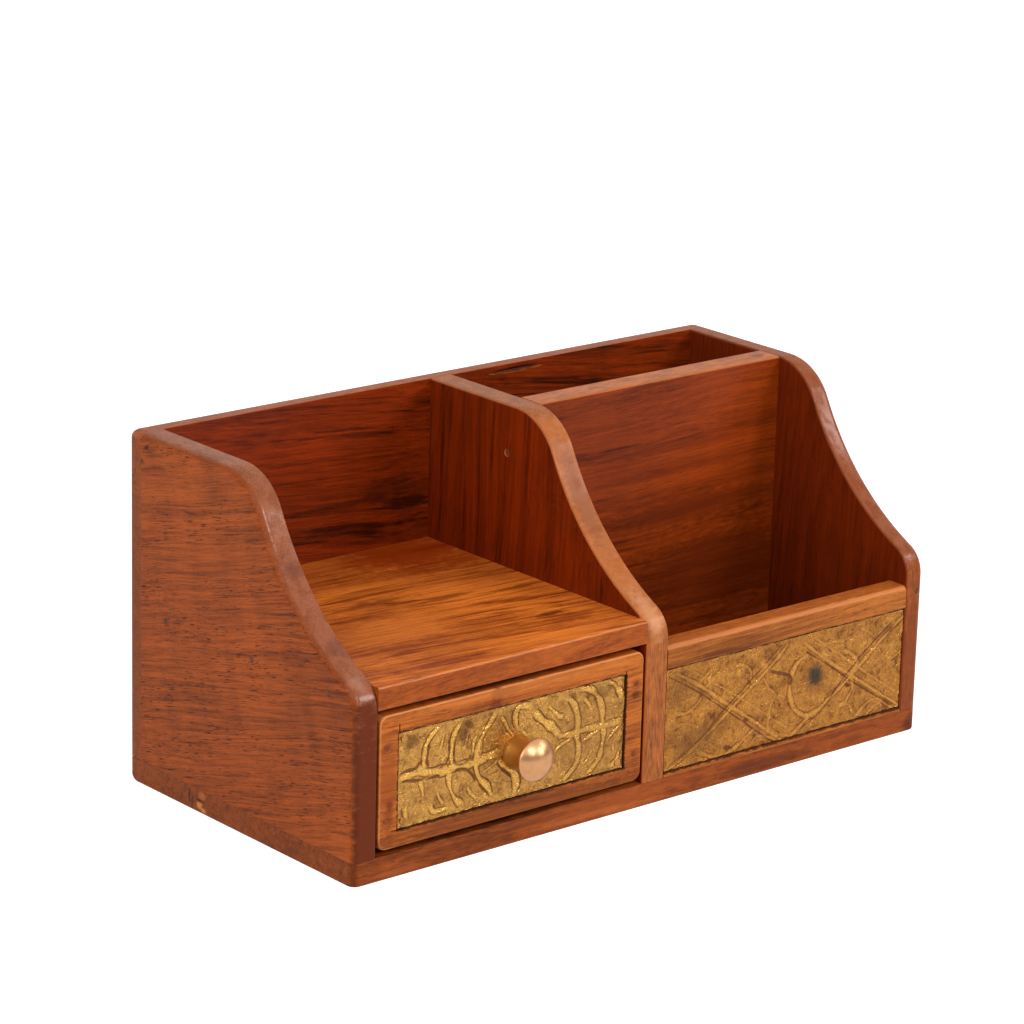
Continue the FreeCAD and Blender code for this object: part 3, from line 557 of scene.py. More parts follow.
def wood(name, grain, pith, pale, dark, *, broad, slant, rings, figure, wear_and_highlight, streaks=0.4,
         pores=0.5, patches=0.3, ripple=0.2, contrast=1.0, edge=(180, 115, 70), edge_share=0.6,
         wear_and_highlight_share=0.5, marks=(), recess=None):
    """A board's material. grain is the axis it runs along, slant its tilt in degrees, broad the
    axis that the two broad faces look along, and pith where the tree's centre is. The pith, the
    marks and a recess's middle and half size are in millimetres."""
    material, tree, shader, places = new_material(name)
    place, normal = places["Object"], places["Normal"]
    mapping = tree.nodes.new("ShaderNodeMapping")
    mapping.vector_type = "POINT"
    turns = [math.radians(turn + tilt) for turn, tilt in zip(GRAIN_TURNS[grain], slant)]
    mapping.inputs["Rotation"].default_value = turns
    mapping.inputs["Location"].default_value = [step * MM for step in pith]
    plug(tree, mapping.inputs["Vector"], place)
    along_grain = mapping.outputs["Vector"]
    grainy = place_group(tree, HARDWOOD, {
        "Vector": along_grain, "Pale Wood": srgb(*pale), "Dark Wood": srgb(*dark),
        "Ring Width": rings, "Figure": figure, "Streaks": streaks, "Pores": pores,
        "Patches": patches, "Ripple": ripple, "Contrast": contrast,
    })
    edged = place_group(tree, SAWN_EDGE_TINT, {
        "Color": grainy["Color"], "Edge Tint": srgb(*edge), "Amount": edge_share,
        "Broad Face": [float(broad == axis) for axis in "XYZ"],
        "Vector": along_grain, "Normal": normal,
    })
    # The rounded arrises take the arris colour: rubbed polish, and on the shelf and the drawer
    # front a painted highlight.
    rubbed = place_group(tree, ARRIS_WEAR_AND_HIGHLIGHT, {
        "Color": edged["Color"], "Wear And Highlight": srgb(*wear_and_highlight), "Amount": wear_and_highlight_share, "Vector": place,
        "Normal": normal,
    })
    colour = add_marks(tree, rubbed["Color"], place, marks)
    if recess:
        colour = place_group(tree, RECESS_SEAM, {
            "Color": colour, "Vector": place, "Middle": recess[0], "Half Size": recess[1],
        })["Color"]
    plug(tree, shader.inputs["Base Color"], colour)
    plug(tree, shader.inputs["Roughness"], grainy["Roughness"])
    raise_bumps(tree, shader, grainy["Height"], MM)
    plug(tree, shader.inputs["Coat Weight"],
         total(tree, POLISH, (edged["Gloss"], HANDLED_GLOSS)))
    shader.inputs["Coat Roughness"].default_value = COAT_ROUGHNESS
    shader.inputs["Specular IOR Level"].default_value = WOOD_SPECULAR
    return material


base = sawn_board("base_board")
base_low, base_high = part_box("base_board")
round_over(base, BASE_CORNER, edges_at(along=Z))
round_over(base, BASE_UNDERSIDE, edges_at((Z, base_low.z)))
round_over(base, SAWN_EDGE, edges_at((Z, base_high.z)), 2)
cut_away(base, rasp_strokes(base_low, base_high))
dent_round_brads(base, "base_brads", Z, -1)
base_wood = wood("base_hardwood", "X", (0, 60, 40), (154, 76, 26), (70, 28, 7), slant=(0, 0, 4),
                 rings=5.0, figure=0.15, patches=1.4, ripple=0.6, contrast=2.4, broad="Z",
                 edge=(138, 64, 20), edge_share=0.45, wear_and_highlight=(84, 36, 14), wear_and_highlight_share=0.6,
                 marks=[((166, 84, 34), 0.35, (-20, -62, 5), (50, 3, 4)),
                        ((198, 112, 58), 0.6, (-127, 19.6, 6.4), (3, 2.6, 1.6)),
                        ((214, 136, 66), 0.9, (-127, 21.0, 2.6), (3, 2.2, 1.6)),
                        ((214, 136, 66), 0.85, (-127, 18.6, 1.4), (3, 1.8, 1.3)),
                        ((60, 26, 10), 0.85, (-127, 20.6, 4.5), (3, 3.4, 0.6)),
                        ((60, 26, 10), 0.85, (-127, 26.6, 5.0), (3, 0.9, 3.2)),
                        ((60, 26, 10), 0.7, (-127, 25.0, 3.0), (3, 0.8, 3.0)),
                        ((92, 42, 16), 0.5, (-66, -62, 5.4), (52, 3, 1.2)),
                        ((92, 42, 16), 0.6, (52, -62, 3.6), (26, 3, 2.2)),
                        ((104, 44, 14), 0.5, (88, -62, 6.2), (24, 3, 1.1)),
                        ((178, 98, 48), 0.5, (-30, -62, 2.6), (26, 3, 1.3)),
                        ((170, 88, 42), 0.45, (-108, -62, 2.0), (13, 3, 1.6)),
                        ((184, 100, 48), 0.45, (-8, -62, 1.6), (20, 3, 1.2)),
                        ((66, 28, 10), 0.6, (124, -62, 3), (4, 4, 5)),
                        # The mark below darkens the base's top in the narrow gap under the drawer
                        # front: painted shade.
                        ((24, 8, 3), 0.95, (-61, -50, 9.5), (64, 13, 3.5))])
finish(base, "base_plank", "carcass", "carcass_wood", base_wood, "base_board")


# ---- Back board ---------------------------------------------------------------------------
# A wide board nailed on behind the uprights, with its outer edges rounded over by hand and its
# foot eased where it stands on the base. A chisel left a gouge in its inner top edge.

OUTER_ARRIS = 3.0 * MM
INNER_ARRIS = 0.9 * MM
GOUGE_MIDDLE = (34.5 * MM, -0.3 * MM, -2.6 * MM)
GOUGE_SIZE = (25.0 * MM, 3.6 * MM, 2.0 * MM)
GOUGE_SIDES, GOUGE_RINGS = 32, 16


def either(*tests):
    """A test that picks what any of several tests picks."""
    return lambda one, other: any(test(one, other) for test in tests)


back = sawn_board("back_board")
back_low, back_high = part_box("back_board")
round_over(back, OUTER_ARRIS, either(
    edges_at((Y, back_high.y), along=Z), edges_at((Z, back_high.z), along=Y),
    edges_at((Y, back_high.y), (Z, back_high.z))))
round_over(back, INNER_ARRIS, edges_at((Y, back_low.y), (Z, back_high.z)), 3)
round_over(back, SAWN_EDGE, lambda one, other: level(one, other, Z, back_low.z)
           and not level(one, other, Y, back_low.y), 2)
dent_round_brads(back, "back_board_brads", Y, 1)
gouge_middle = Vector((0, back_low.y, back_high.z)) + Vector(GOUGE_MIDDLE)
cut_away(back, [ball(gouge_middle, 0.5, GOUGE_SIZE, GOUGE_SIDES, GOUGE_RINGS)])
back_wood = wood("back_hardwood", "X", (-20, -34, -95), (138, 46, 5), (56, 14, 1),
                 slant=(0, -7, 2), rings=9.0, figure=0.2, streaks=0.5, pores=0.35, patches=0.7,
                 contrast=1.4, broad="Y", edge=(178, 92, 34), wear_and_highlight=(176, 92, 40),
                 marks=[((30, 9, 2), 0.8, (-14, 54, 80), (15, 6, 3)),
                        ((50, 16, 3), 0.5, (-22, 54, 87), (17, 6, 5)),
                        ((40, 12, 3), 0.5, (-44, 54, 84), (34, 6, 1.6)),
                        # The mark below darkens the inside of the chisel gouge: painted shade.
                        ((48, 15, 4), 0.9, (34.5, 55, 121.1), (14, 2.4, 1.5)),
                        ((84, 48, 30), 0.45, (-127, 60, 60), (4, 12, 90))])
finish(back, "back_plank", "carcass", "carcass_wood", back_wood, "back_board")


# ---- Uprights -----------------------------------------------------------------------------
# Three boards sawn to the same S-curve: a straight front edge, a rounded toe, a long hollow and
# a rounded shoulder. Their edges are sanded round, most of all on the stand's outer faces, and
# the middle one has lost a row of small chips from its front edge.

LIP_HEIGHT = 58.0 * MM
TOE_RADIUS = 11.0 * MM
HOLLOW_RADIUS = 99.0 * MM
SHOULDER_RADIUS = 22.0 * MM
FLAT_TOP_START = 70.2 * MM
TOE_STEPS = 8
HOLLOW_STEPS = 24
SHOULDER_STEPS = 12
CHIPS = ((44, 0.55), (52, 0.9), (58.5, 0.6), (66, 1.0), (71, 0.5), (31, 0.6))
CHIP_SHAPE = (0.55, 0.7, 2.4)
CHIP_SIDES, CHIP_RINGS = 16, 10


def s_curve_centres(front, top):
    """Centres of the toe, hollow and shoulder, as points in the side view."""
    toe = Vector((0, front + TOE_RADIUS, LIP_HEIGHT))
    shoulder = Vector((0, front + FLAT_TOP_START, top - SHOULDER_RADIUS))
    between = shoulder - toe
    near_side = TOE_RADIUS + HOLLOW_RADIUS
    far_side = SHOULDER_RADIUS + HOLLOW_RADIUS
    foot = (near_side**2 - far_side**2 + between.length**2) / (2 * between.length)
    forward = between.normalized()
    outward = Vector((0, -forward.z, forward.y))
    hollow = toe + forward * foot + outward * math.sqrt(near_side**2 - foot**2)
    return toe, hollow, shoulder


def upright_board(node):
    """An upright as thick as its solid, drawn in side view and then extruded."""
    low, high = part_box(node)
    toe, hollow, shoulder = s_curve_centres(low.y, high.z)
    toe_angle = math.atan2(hollow.z - toe.z, toe.y - hollow.y)
    fall = math.atan2(shoulder.z - hollow.z, shoulder.y - hollow.y)
    hollow_angle = fall + toe_angle
    shoulder_angle = math.pi / 2 + fall
    draw_outline(low, (0, 0, LIP_HEIGHT - low.z))
    for centre, angle, steps in (
        (toe, toe_angle, TOE_STEPS),
        (hollow, -hollow_angle, HOLLOW_STEPS),
        (shoulder, shoulder_angle, SHOULDER_STEPS),
    ):
        bpy.ops.mesh.spin(steps=steps, angle=angle, center=centre, axis=(1, 0, 0))
    extrude(0, high.y - low.y - FLAT_TOP_START, 0)
    extrude(0, 0, low.z - high.z)
    return saw_out(high.x - low.x, 0, 0), low, high


def curved_rim(low, high, side):
    """A test for the edges of one side face, apart from those on the base and the back."""
    def wanted(one, other):
        at_rest = level(one, other, Z, low.z) or level(one, other, Y, high.y)
        return level(one, other, X, side) and not at_rest
    return wanted


def upright(node, left_radius, right_radius):
    """An upright with its two rims rounded."""
    piece, low, high = upright_board(node)
    round_over(piece, left_radius, curved_rim(low, high, low.x), 5)
    round_over(piece, right_radius, curved_rim(low, high, high.x), 5)
    return piece


left_upright = upright("left_panel", OUTER_ARRIS, INNER_ARRIS)
dent_round_brads(left_upright, "left_panel_brads", X, -1)
left_wood = wood("left_hardwood", "Y", (10, 55, 30), (174, 82, 24), (86, 34, 8),
                 slant=(14, 0, 0), rings=7.0, figure=0.10, streaks=0.15, pores=0.9, patches=0.5,
                 ripple=0.5, contrast=1.6, broad="X", edge=(149, 88, 56), edge_share=0.95,
                 wear_and_highlight=(130, 60, 26),
                 marks=[((95, 35, 5), 0.95, (-122, -62, 20), (12, 1.4, 90)),
                        ((112, 56, 34), 0.7, (-120, -30, 80), (6, 5, 5)),
                        ((104, 52, 36), 0.6, (-122, -23, 97), (5, 5, 7)),
                        ((104, 52, 36), 0.5, (-121, -44, 74), (5, 5, 4)),
                        # The pale mark below, on the toe of the curved edge, is a painted
                        # highlight.
                        ((206, 160, 140), 0.2, (-122.5, -56.5, 65.5), (4, 4, 4)),
                        ((84, 36, 18), 0.8, (-127, -62, 40), (2.4, 2.2, 60)),
                        ((70, 30, 12), 0.8, (-127, 55, 114), (2, 3, 1.6))])
finish(left_upright, "left_upright", "carcass", "carcass_wood", left_wood, "left_panel")

divider = upright("centre_divider", INNER_ARRIS, INNER_ARRIS)
dent_round_brads(divider, "divider_left_brads", X, -1)
dent_round_brads(divider, "divider_right_brads", X, 1)
divider_low, divider_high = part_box("centre_divider")
chips = [ball((divider_high.x, divider_low.y, height * MM), size * MM, CHIP_SHAPE, CHIP_SIDES,
              CHIP_RINGS) for height, size in CHIPS]
cut_away(divider, [join(chips)])
divider_wood = wood("divider_hardwood", "Z", (15, 40, 60), (136, 44, 4), (68, 18, 1),
                    slant=(0, 2, 3), rings=8.0, figure=0.2, pores=0.4, patches=0.6,
                    contrast=1.2, broad="X", edge=(158, 90, 44), edge_share=0.95,
                    wear_and_highlight=(186, 104, 46), wear_and_highlight_share=0.6,
                    # The mark below darkens the up-facing middle of the curved edge: painted
                    # shade.
                    marks=[((122, 64, 34), 0.6, (1.2, -20, 96), (5.6, 24, 34)),
                           ((216, 154, 106), 0.5, (0.7, -54, 65), (4.6, 15, 10))])
finish(divider, "middle_upright", "carcass", "carcass_wood", divider_wood, "centre_divider")

right_upright = upright("right_panel", INNER_ARRIS, OUTER_ARRIS)
dent_round_brads(right_upright, "right_panel_brads", X, 1)
dent_round_brads(right_upright, "front_edge_brad", Y, -1)
right_wood = wood("right_hardwood", "Z", (-30, 30, 50), (126, 41, 5), (70, 20, 2),
                  slant=(0, 1, 2), rings=1.6, figure=0.18, streaks=0.05, patches=0.5, broad="X",
                  edge=(148, 76, 32), edge_share=0.95, wear_and_highlight=(128, 60, 24), wear_and_highlight_share=0.6,
                  marks=[((112, 50, 18), 0.6, (122.7, -62, 26), (8, 3, 38))])
finish(right_upright, "right_upright", "carcass", "carcass_wood", right_wood, "right_panel")


# ---- Shelf --------------------------------------------------------------------------------
# The floor of the open tray and the roof over the drawer. It is fitted tight between two
# uprights and nailed through them, with its front arris rubbed round.

shelf = sawn_board("shelf_board")
shelf_low, shelf_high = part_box("shelf_board")
round_over(shelf, INNER_ARRIS, edges_at((Y, shelf_low.y), (Z, shelf_high.z)))
round_over(shelf, SAWN_EDGE, edges_at((Y, shelf_low.y), (Z, shelf_low.z)), 2)
shelf_wood = wood("shelf_hardwood", "X", (-30, 20, 55), (238, 130, 46), (132, 52, 10),
                  slant=(0, 2, 5), rings=6.0, figure=0.3, streaks=0.6, pores=0.4, patches=1.2,
                  contrast=1.7, broad="Z", edge=(138, 64, 22), edge_share=0.8,
                  # The pale arris colour is a painted highlight along the shelf's front edge.
                  wear_and_highlight=(206, 128, 74),
                  marks=[((146, 60, 14), 0.45, (-61, 48, 65.7), (66, 26, 3)),
                         ((150, 42, 0), 0.75, (-20, 46, 65.7), (34, 30, 3)),
                         ((112, 44, 10), 0.7, (-68, 6, 65.7), (18, 2.4, 2)),
                         ((112, 44, 10), 0.65, (-44, -3, 65.7), (16, 2.2, 2)),
                         ((120, 48, 12), 0.65, (-15, -8, 65.7), (14, 2.2, 2)),
                         ((92, 34, 10), 0.85, (-25, -36.5, 65.7), (9, 2.2, 2)),
                         ((240, 134, 54), 0.4, (-84, -20, 65.7), (30, 15, 3)),
                         ((126, 48, 14), 0.6, (-22, -43, 65.7), (13, 5, 2)),
                         # The mark below darkens the shelf's underside over the drawer front:
                         # painted shade in the gap.
                         ((24, 8, 3), 0.95, (-61, -48, 57.2), (64, 15, 1.6))])
finish(shelf, "tray_shelf", "carcass", "carcass_wood", shelf_wood, "shelf_board")


# ---- Partition ----------------------------------------------------------------------------
# A tall board between the right compartment and the narrow pen slot behind it. It is as high
# as the uprights, and only its two top edges are eased.

partition = sawn_board("pen_partition")
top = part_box("pen_partition")[1].z
round_over(partition, INNER_ARRIS, edges_at((Z, top), along=X))
partition_wood = wood("partition_hardwood", "X", (40, -25, -110), (150, 58, 9), (78, 22, 2),
                      slant=(0, 1, 2), rings=7.0, figure=0.2, pores=0.35, patches=0.9,
                      broad="Y", edge=(186, 104, 46), edge_share=0.9, wear_and_highlight=(204, 118, 54),
                      marks=[((92, 46, 20), 0.6, (112, 12, 123.5), (3.5, 2, 2)),
                             ((74, 22, 4), 0.5, (80, 7, 74), (60, 4, 8)),
                             # The mark below darkens the lower part of the face inside the
                             # compartment: painted shade.
                             ((70, 18, 2), 0.55, (92, 7, 48), (60, 4, 22))])
finish(partition, "pen_partition_board", "carcass", "carcass_wood", partition_wood,
       "pen_partition")


# ---- Bin front ----------------------------------------------------------------------------
# The low hardwood front of the right compartment. A rebate along its face takes the brass and
# leaves a rail over it, rounded by hand, and a thin lip under it.

BIN_LIP = 1.5 * MM
BIN_RAIL = 8.4 * MM
RAIL_ROUND = 2.2 * MM
SHEET_RECESS = 1.8 * MM

bin_low, bin_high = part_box("bin_front")
draw_outline(
    bin_low,
    (0, bin_high.y - bin_low.y, 0),
    (0, 0, bin_high.z - bin_low.z),
    (0, bin_low.y - bin_high.y, 0),
    (0, 0, -BIN_RAIL),
    (0, SHEET_RECESS, 0),
    (0, 0, BIN_RAIL + BIN_LIP + bin_low.z - bin_high.z),
    (0, -SHEET_RECESS, 0),
    (0, 0, -BIN_LIP),
)
bin_board = saw_out(bin_high.x - bin_low.x, 0, 0)
round_over(bin_board, RAIL_ROUND, edges_at((Y, bin_low.y), (Z, bin_high.z)), 6)
round_over(bin_board, INNER_ARRIS, edges_at((Y, bin_high.y), (Z, bin_high.z)), 3)
round_over(bin_board, SAWN_EDGE, either(
    edges_at((Y, bin_low.y), (Z, bin_high.z - BIN_RAIL)),
    edges_at((Y, bin_low.y), (Z, bin_low.z + BIN_LIP))), 2)
bin_wood = wood("bin_hardwood", "X", (20, -28, -30), (186, 108, 42), (104, 50, 15),
                slant=(0, 2, -2), rings=4.5, figure=0.2, streaks=0.3, patches=0.4, contrast=1.5,
                broad="Y", edge=(186, 96, 36), wear_and_highlight=(206, 124, 66), wear_and_highlight_share=0.7,
                recess=((62, -62, 28.1), (56.7, 0, 18.4)))
finish(bin_board, "bin_front_board", "carcass", "carcass_wood", bin_wood, "bin_front")


# ---- Carcass brads ------------------------------------------------------------------------
# Steel brads hammered through one board into the next. Their heads sit just under the surface
# in a dab of dark filler, so they show as grey-brown dots.

HEAD_RADIUS = 1.1 * MM
HEAD_HEIGHT = 0.8 * MM
HEAD_SINK = 0.22 * MM
HEAD_SIDES = 20
SHANK_RADIUS = 0.7 * MM
BRAD_LENGTH = 22.0 * MM
POINT_SHARE = 0.1
POINT_WIDTH = 0.15
FILLER_LUMP = 0.1 * MM
FILLER_SPECULAR = 0.2


def brad(length, head_radius, head_height, shank_radius):
    """A nail with its head at the origin, pointing down: a disc, a shank pulled out of it and
    a tapered point."""
    deselect()
    bpy.ops.mesh.primitive_cylinder_add(vertices=HEAD_SIDES, radius=head_radius,
                                        depth=head_height, location=(0, 0, -head_height / 2))
    nail = bpy.context.object
    apply_place(nail)
    round_over(nail, head_height / 4, edges_at((Z, 0)), 3)
    take(nail)
    bpy.ops.object.mode_set(mode="EDIT")
    bpy.ops.mesh.select_mode(type="FACE")
    bpy.ops.mesh.select_all(action="DESELECT")
    sheet = bmesh.from_edit_mesh(nail.data)
    for face in sheet.faces:
        face.select_set(face.calc_center_median().z < -head_height + TOUCHING)
    bmesh.update_edit_mesh(nail.data)
    bpy.ops.mesh.inset(thickness=head_radius - shank_radius)
    extrude(0, 0, head_height - (1 - POINT_SHARE) * length)
    extrude(0, 0, -POINT_SHARE * length)
    bpy.ops.transform.resize(value=(POINT_WIDTH, POINT_WIDTH, 1))
    bpy.ops.object.mode_set(mode="OBJECT")
    return nail


def drive(nail, node, axis, outward, sink):
    """Drive copies of a nail in at every head of a group, and join them."""
    out = Vector((0, 0, 0))
    out[axis] = outward
    driven = []
    for place in brad_heads(node, axis, outward):
        copy = nail.copy()
        copy.data = nail.data.copy()
        bpy.context.collection.objects.link(copy)
        copy.rotation_euler = out.to_track_quat("Z", "Y").to_euler()
        copy.location = place - out * sink
        driven.append(copy)
    return join(driven)


def brad_metal(name, thin, thick):
    """Dull steel under a smear of filler that fills most of each hollow."""
    material, tree, shader, places = new_material(name)
    smear = rise(tree, noise(tree, places["Object"], (900, 900, 900), 3.0), 0.40, 0.60)
    plug(tree, shader.inputs["Base Color"], blend(tree, smear, srgb(*thin), srgb(*thick)))
    bare = calc(tree, "SUBTRACT", 1.0, smear)
    plug(tree, shader.inputs["Metallic"], calc(tree, "MULTIPLY", bare, 0.3))
    plug(tree, shader.inputs["Roughness"], total(tree, 0.5, (smear, 0.3)))
    shader.inputs["Specular IOR Level"].default_value = FILLER_SPECULAR
    raise_bumps(tree, shader, noise(tree, places["Object"], (1800, 1800, 1800), 3.0), FILLER_LUMP)
    return material


FILLED_BRADS = brad_metal("filled_brads", (112, 72, 54), (92, 54, 38))
STOPPED_BRADS = brad_metal("stopped_brads", (134, 68, 28), (118, 56, 22))
long_brad = brad(BRAD_LENGTH, HEAD_RADIUS, HEAD_HEIGHT, SHANK_RADIUS)
for node, axis, outward in (
    ("left_panel_brads", X, -1), ("divider_left_brads", X, -1), ("divider_right_brads", X, 1),
    ("right_panel_brads", X, 1), ("front_edge_brad", Y, -1), ("back_board_brads", Y, 1),
    ("base_brads", Z, -1),
):
    driven = drive(long_brad, node, axis, outward, HEAD_SINK)
    finish(driven, f"{node}_driven", "carcass", "brad_steel", FILLED_BRADS, node)
bpy.data.objects.remove(long_brad)


# ---- Bin brass plate ----------------------------------------------------------------------
# A thin brass sheet, hammered from behind over crossed bands and leaf scrolls, and darkened in
# its hollows. It is let in between the rail and the lip of the bin front.

SHEET_STEP = 0.22 * MM
SHEET_RISE = 0.1 * MM
SHEET_BACK = 0.9 * MM
RELIEF_LOWEST = -0.2 * MM
RELIEF_HIGHEST = 0.7 * MM
DENT_SIZE, DENT_HEIGHT = 4.5, 0.17
CREASE_SIZE, CREASE_HEIGHT, CREASE_SHARPNESS = 3.4, 0.14, 5
STROKE_SIZE, STROKE_HEIGHT, STROKE_SHARPNESS = 1.6, 0.08, 3
STROKE_SWAY, STROKE_STRETCH = 2, 0.3
CRUMPLE_CHANGE, CRUMPLE_FINER = 0.7, 2.1
RELIEF_DROP = 0.07
LINE_SPACING = 0.25
LINE_FOOT = 0.08
LINE_WIDTH, LINE_WANDER, WANDER_SIZE = 0.92, 0.6, 4
BACK_SHARE, BACK_STEEPNESS = 0.5, 3
LEAST_FADE = 0.15
SIDE_HOLLOW = 0.5
HOLLOW_PLACE, HOLLOW_SHARE, HOLLOW_LEAST = 0.78, 0.08, 0.1
HOLLOW_STOPS = 6
RIM_WAVE = 0.35 * MM
RIM_WAVE_SIZE = 4.0
RIM_REACH = 1.5
SHEET_METALLIC = 0.75
BIN_RIDGES = [
    (1.1, 0.38, [(4.0, 34.7), (15.2, 28.0), (29.6, 17.8), (42.8, 8.7), (54.6, 0.2)]),
    (1.1, 0.38, [(1.2, -0.3), (14.0, 5.8), (30.0, 16.0), (46.5, 26.7), (57.1, 35.0)]),
    (1.1, 0.38, [(63.4, 34.0), (76.5, 24.2), (88.4, 16.5), (101.5, 7.7), (114.2, -0.3)]),
    (1.1, 0.38, [(58.4, -0.7), (65.2, 4.0), (74.2, 8.5), (86.5, 15.7), (99.0, 25.0),
                 (108.4, 31.2), (114.6, 35.2)]),
    (0.9, 0.30, [(7.8, 36.0), (19.0, 29.3), (32.8, 20.6), (45.9, 11.8), (58.4, 3.1)]),
    (0.9, 0.30, [(67.8, 35.2), (79.6, 27.2), (92.1, 18.5), (105.2, 9.7), (114.6, 3.5)]),
    (1.6, 0.40, [(66.0, 28.5), (60.8, 26.2), (58.2, 20.0), (58.8, 13.7), (62.2, 8.7),
                 (67.8, 6.0), (73.8, 8.0)]),
    (1.2, 0.30, [(45.0, 25.0), (47.8, 20.6), (51.0, 17.2), (49.0, 12.5), (48.4, 6.8),
                 (51.5, 3.0), (57.1, 1.0), (62.8, 1.7), (65.9, 4.7)]),
    (1.3, 0.35, [(15.2, 28.5), (18.2, 31.0), (21.2, 32.7)]),
    (1.1, 0.30, [(18.0, 26.2), (21.5, 29.0), (25.5, 31.5)]),
    (1.0, 0.30, [(31.5, 31.8), (35.5, 31.0), (39.0, 28.5), (39.2, 24.3)]),
    (1.1, 0.30, [(28.0, 24.3), (26.8, 21.7), (28.0, 20.0)]),
    (1.2, 0.30, [(4.6, 19.7), (10.2, 19.2), (15.0, 21.7), (16.8, 24.5)]),
    (1.0, 0.25, [(4.0, 14.5), (8.4, 15.5), (13.0, 14.2), (15.9, 12.5)]),
    (1.3, 0.35, [(14.2, 5.0), (19.0, 2.2), (24.2, -0.3)]),
    (1.0, 0.30, [(17.1, 7.7), (21.2, 5.5), (25.2, 2.7)]),
    (1.3, 0.35, [(28.0, -0.3), (33.0, 1.5), (39.2, 5.2), (43.2, 7.2)]),
    (1.1, 0.30, [(38.4, -0.5), (43.4, 3.5), (47.8, 2.5), (54.0, -0.3)]),
    (1.3, 0.35, [(82.8, 27.2), (88.0, 24.3), (90.5, 21.0), (87.8, 17.2), (88.8, 12.5),
                 (85.5, 7.5), (81.5, 6.2)]),
    (1.2, 0.30, [(81.5, 6.8), (87.1, 6.0), (90.0, 2.2)]),
    (1.1, 0.30, [(100.9, 24.3), (103.0, 21.5), (108.4, 19.3), (112.8, 21.7), (113.4, 25.5)]),
    (1.2, 0.35, [(90.5, 0.2), (95.5, 4.2), (101.2, 5.5), (106.8, 2.0), (112.5, -1.0)]),
    (1.0, 0.30, [(95.2, -0.7), (100.0, 2.7), (104.0, 3.5)]),
    (1.0, 0.30, [(67.1, 35.2), (68.8, 32.7), (72.8, 31.0), (77.8, 31.2), (82.8, 30.5),
                 (87.1, 31.2)]),
    (1.1, 0.30, [(90.2, 34.0), (95.2, 31.5), (98.8, 28.5)]),
    (1.1, 0.35, [(8.4, 28.0), (8.9, 24.2)]),
]
BIN_GROOVES = [
    (0.45, 0.20, [(0.9, 34.0), (14.0, 26.2), (28.0, 16.5), (40.9, 7.2), (51.5, -0.3)]),
    (0.45, 0.20, [(65.2, 30.0), (77.8, 22.0), (88.0, 14.7), (101.5, 6.0), (112.1, -1.0)]),
    (0.45, 0.20, [(2.8, 2.0), (15.2, 7.7), (28.0, 17.2), (44.6, 28.5), (53.4, 35.0)]),
    (0.45, 0.20, [(62.8, 1.5), (73.8, 6.5), (84.8, 17.2), (96.8, 26.2), (106.8, 32.7)]),
    (1.0, 0.30, [(49.0, 26.0), (54.0, 24.3), (58.4, 22.2), (57.8, 18.7)]),
    (1.6, 0.30, [(28.0, 2.7), (31.5, 2.0)]),
    (1.3, 0.35, [(38.4, 24.6), (39.2, 23.7)]),
    (1.2, 0.30, [(44.6, 14.6), (45.5, 14.0)]),
    (1.4, 0.30, [(85.5, 13.7), (87.5, 13.0)]),
    (1.2, 0.25, [(36.5, 11.0), (38.4, 10.2)]),
]


def chased_line(points):
    """Closely spaced places on a smooth line through a few points."""
    points = [np.array(point) for point in points]
    points = [2 * points[0] - points[1]] + points + [2 * points[-1] - points[-2]]
    places = []
    for before, start, end, after in zip(points, points[1:], points[2:], points[3:]):
        steps = max(2, int(np.linalg.norm(end - start) / LINE_SPACING))
        for step in range(steps):
            t = step / steps
            places.append(0.5 * (2 * start + (end - before) * t
                                 + (2 * before - 5 * start + 4 * end - after) * t**2
                                 + (3 * start - before - 3 * end + after) * t**3))
    return np.array(places)


def chase(across, up, lines, side_hollow):
    """How high the hammered lines stand at each point: the highest of their rounded backs, with
    a narrow hollow beaten along both sides of each."""
    backs = np.zeros_like(across)
    hollows = np.zeros_like(across)
    for width, height, points in lines:
        line = chased_line(points)
        reach = 3 * width
        near = ((across > line[:, 0].min() - reach) & (across < line[:, 0].max() + reach)
                & (up > line[:, 1].min() - reach) & (up < line[:, 1].max() + reach))
        wander = np.array([noise_of.noise((x / WANDER_SIZE, y / WANDER_SIZE, width))
                           for x, y in line])
        gap = np.hypot(across[near, None] - line[:, 0], up[near, None] - line[:, 1])
        nearest = gap.argmin(axis=1)
        gap = gap.min(axis=1)
        along = nearest / (len(line) - 1)
        to_end = np.minimum(along, 1 - along) * len(line) * LINE_SPACING
        fade = np.clip(to_end / width, LEAST_FADE, 1)
        here = width * (LINE_WIDTH + LINE_WANDER * wander[nearest])
        back = fade * height * np.exp(-((gap / (BACK_SHARE * here)) ** BACK_STEEPNESS))
        spread = (gap - HOLLOW_PLACE * here) / (HOLLOW_SHARE * here + HOLLOW_LEAST)
        hollow = fade * side_hollow * height * np.exp(-(spread**2))
        backs[near] = np.maximum(backs[near], back)
        hollows[near] = np.maximum(hollows[near], hollow)
    return backs - hollows * np.clip(1 - backs * HOLLOW_STOPS, 0, 1)


def crumple(across, up, size, seed, octaves=4):
    """Uneven dents left by the hammer, between -1 and 1."""
    values = [noise_of.fractal((a / size + seed, b / size, seed), CRUMPLE_CHANGE, CRUMPLE_FINER,
                               octaves) for a, b in zip(across, up)]
    return np.array(values)


def folds(values, sharpness):
    """Narrow ridges, 1 high, where values pass through zero."""
    return np.clip(1 - sharpness * np.abs(values), 0, 1)


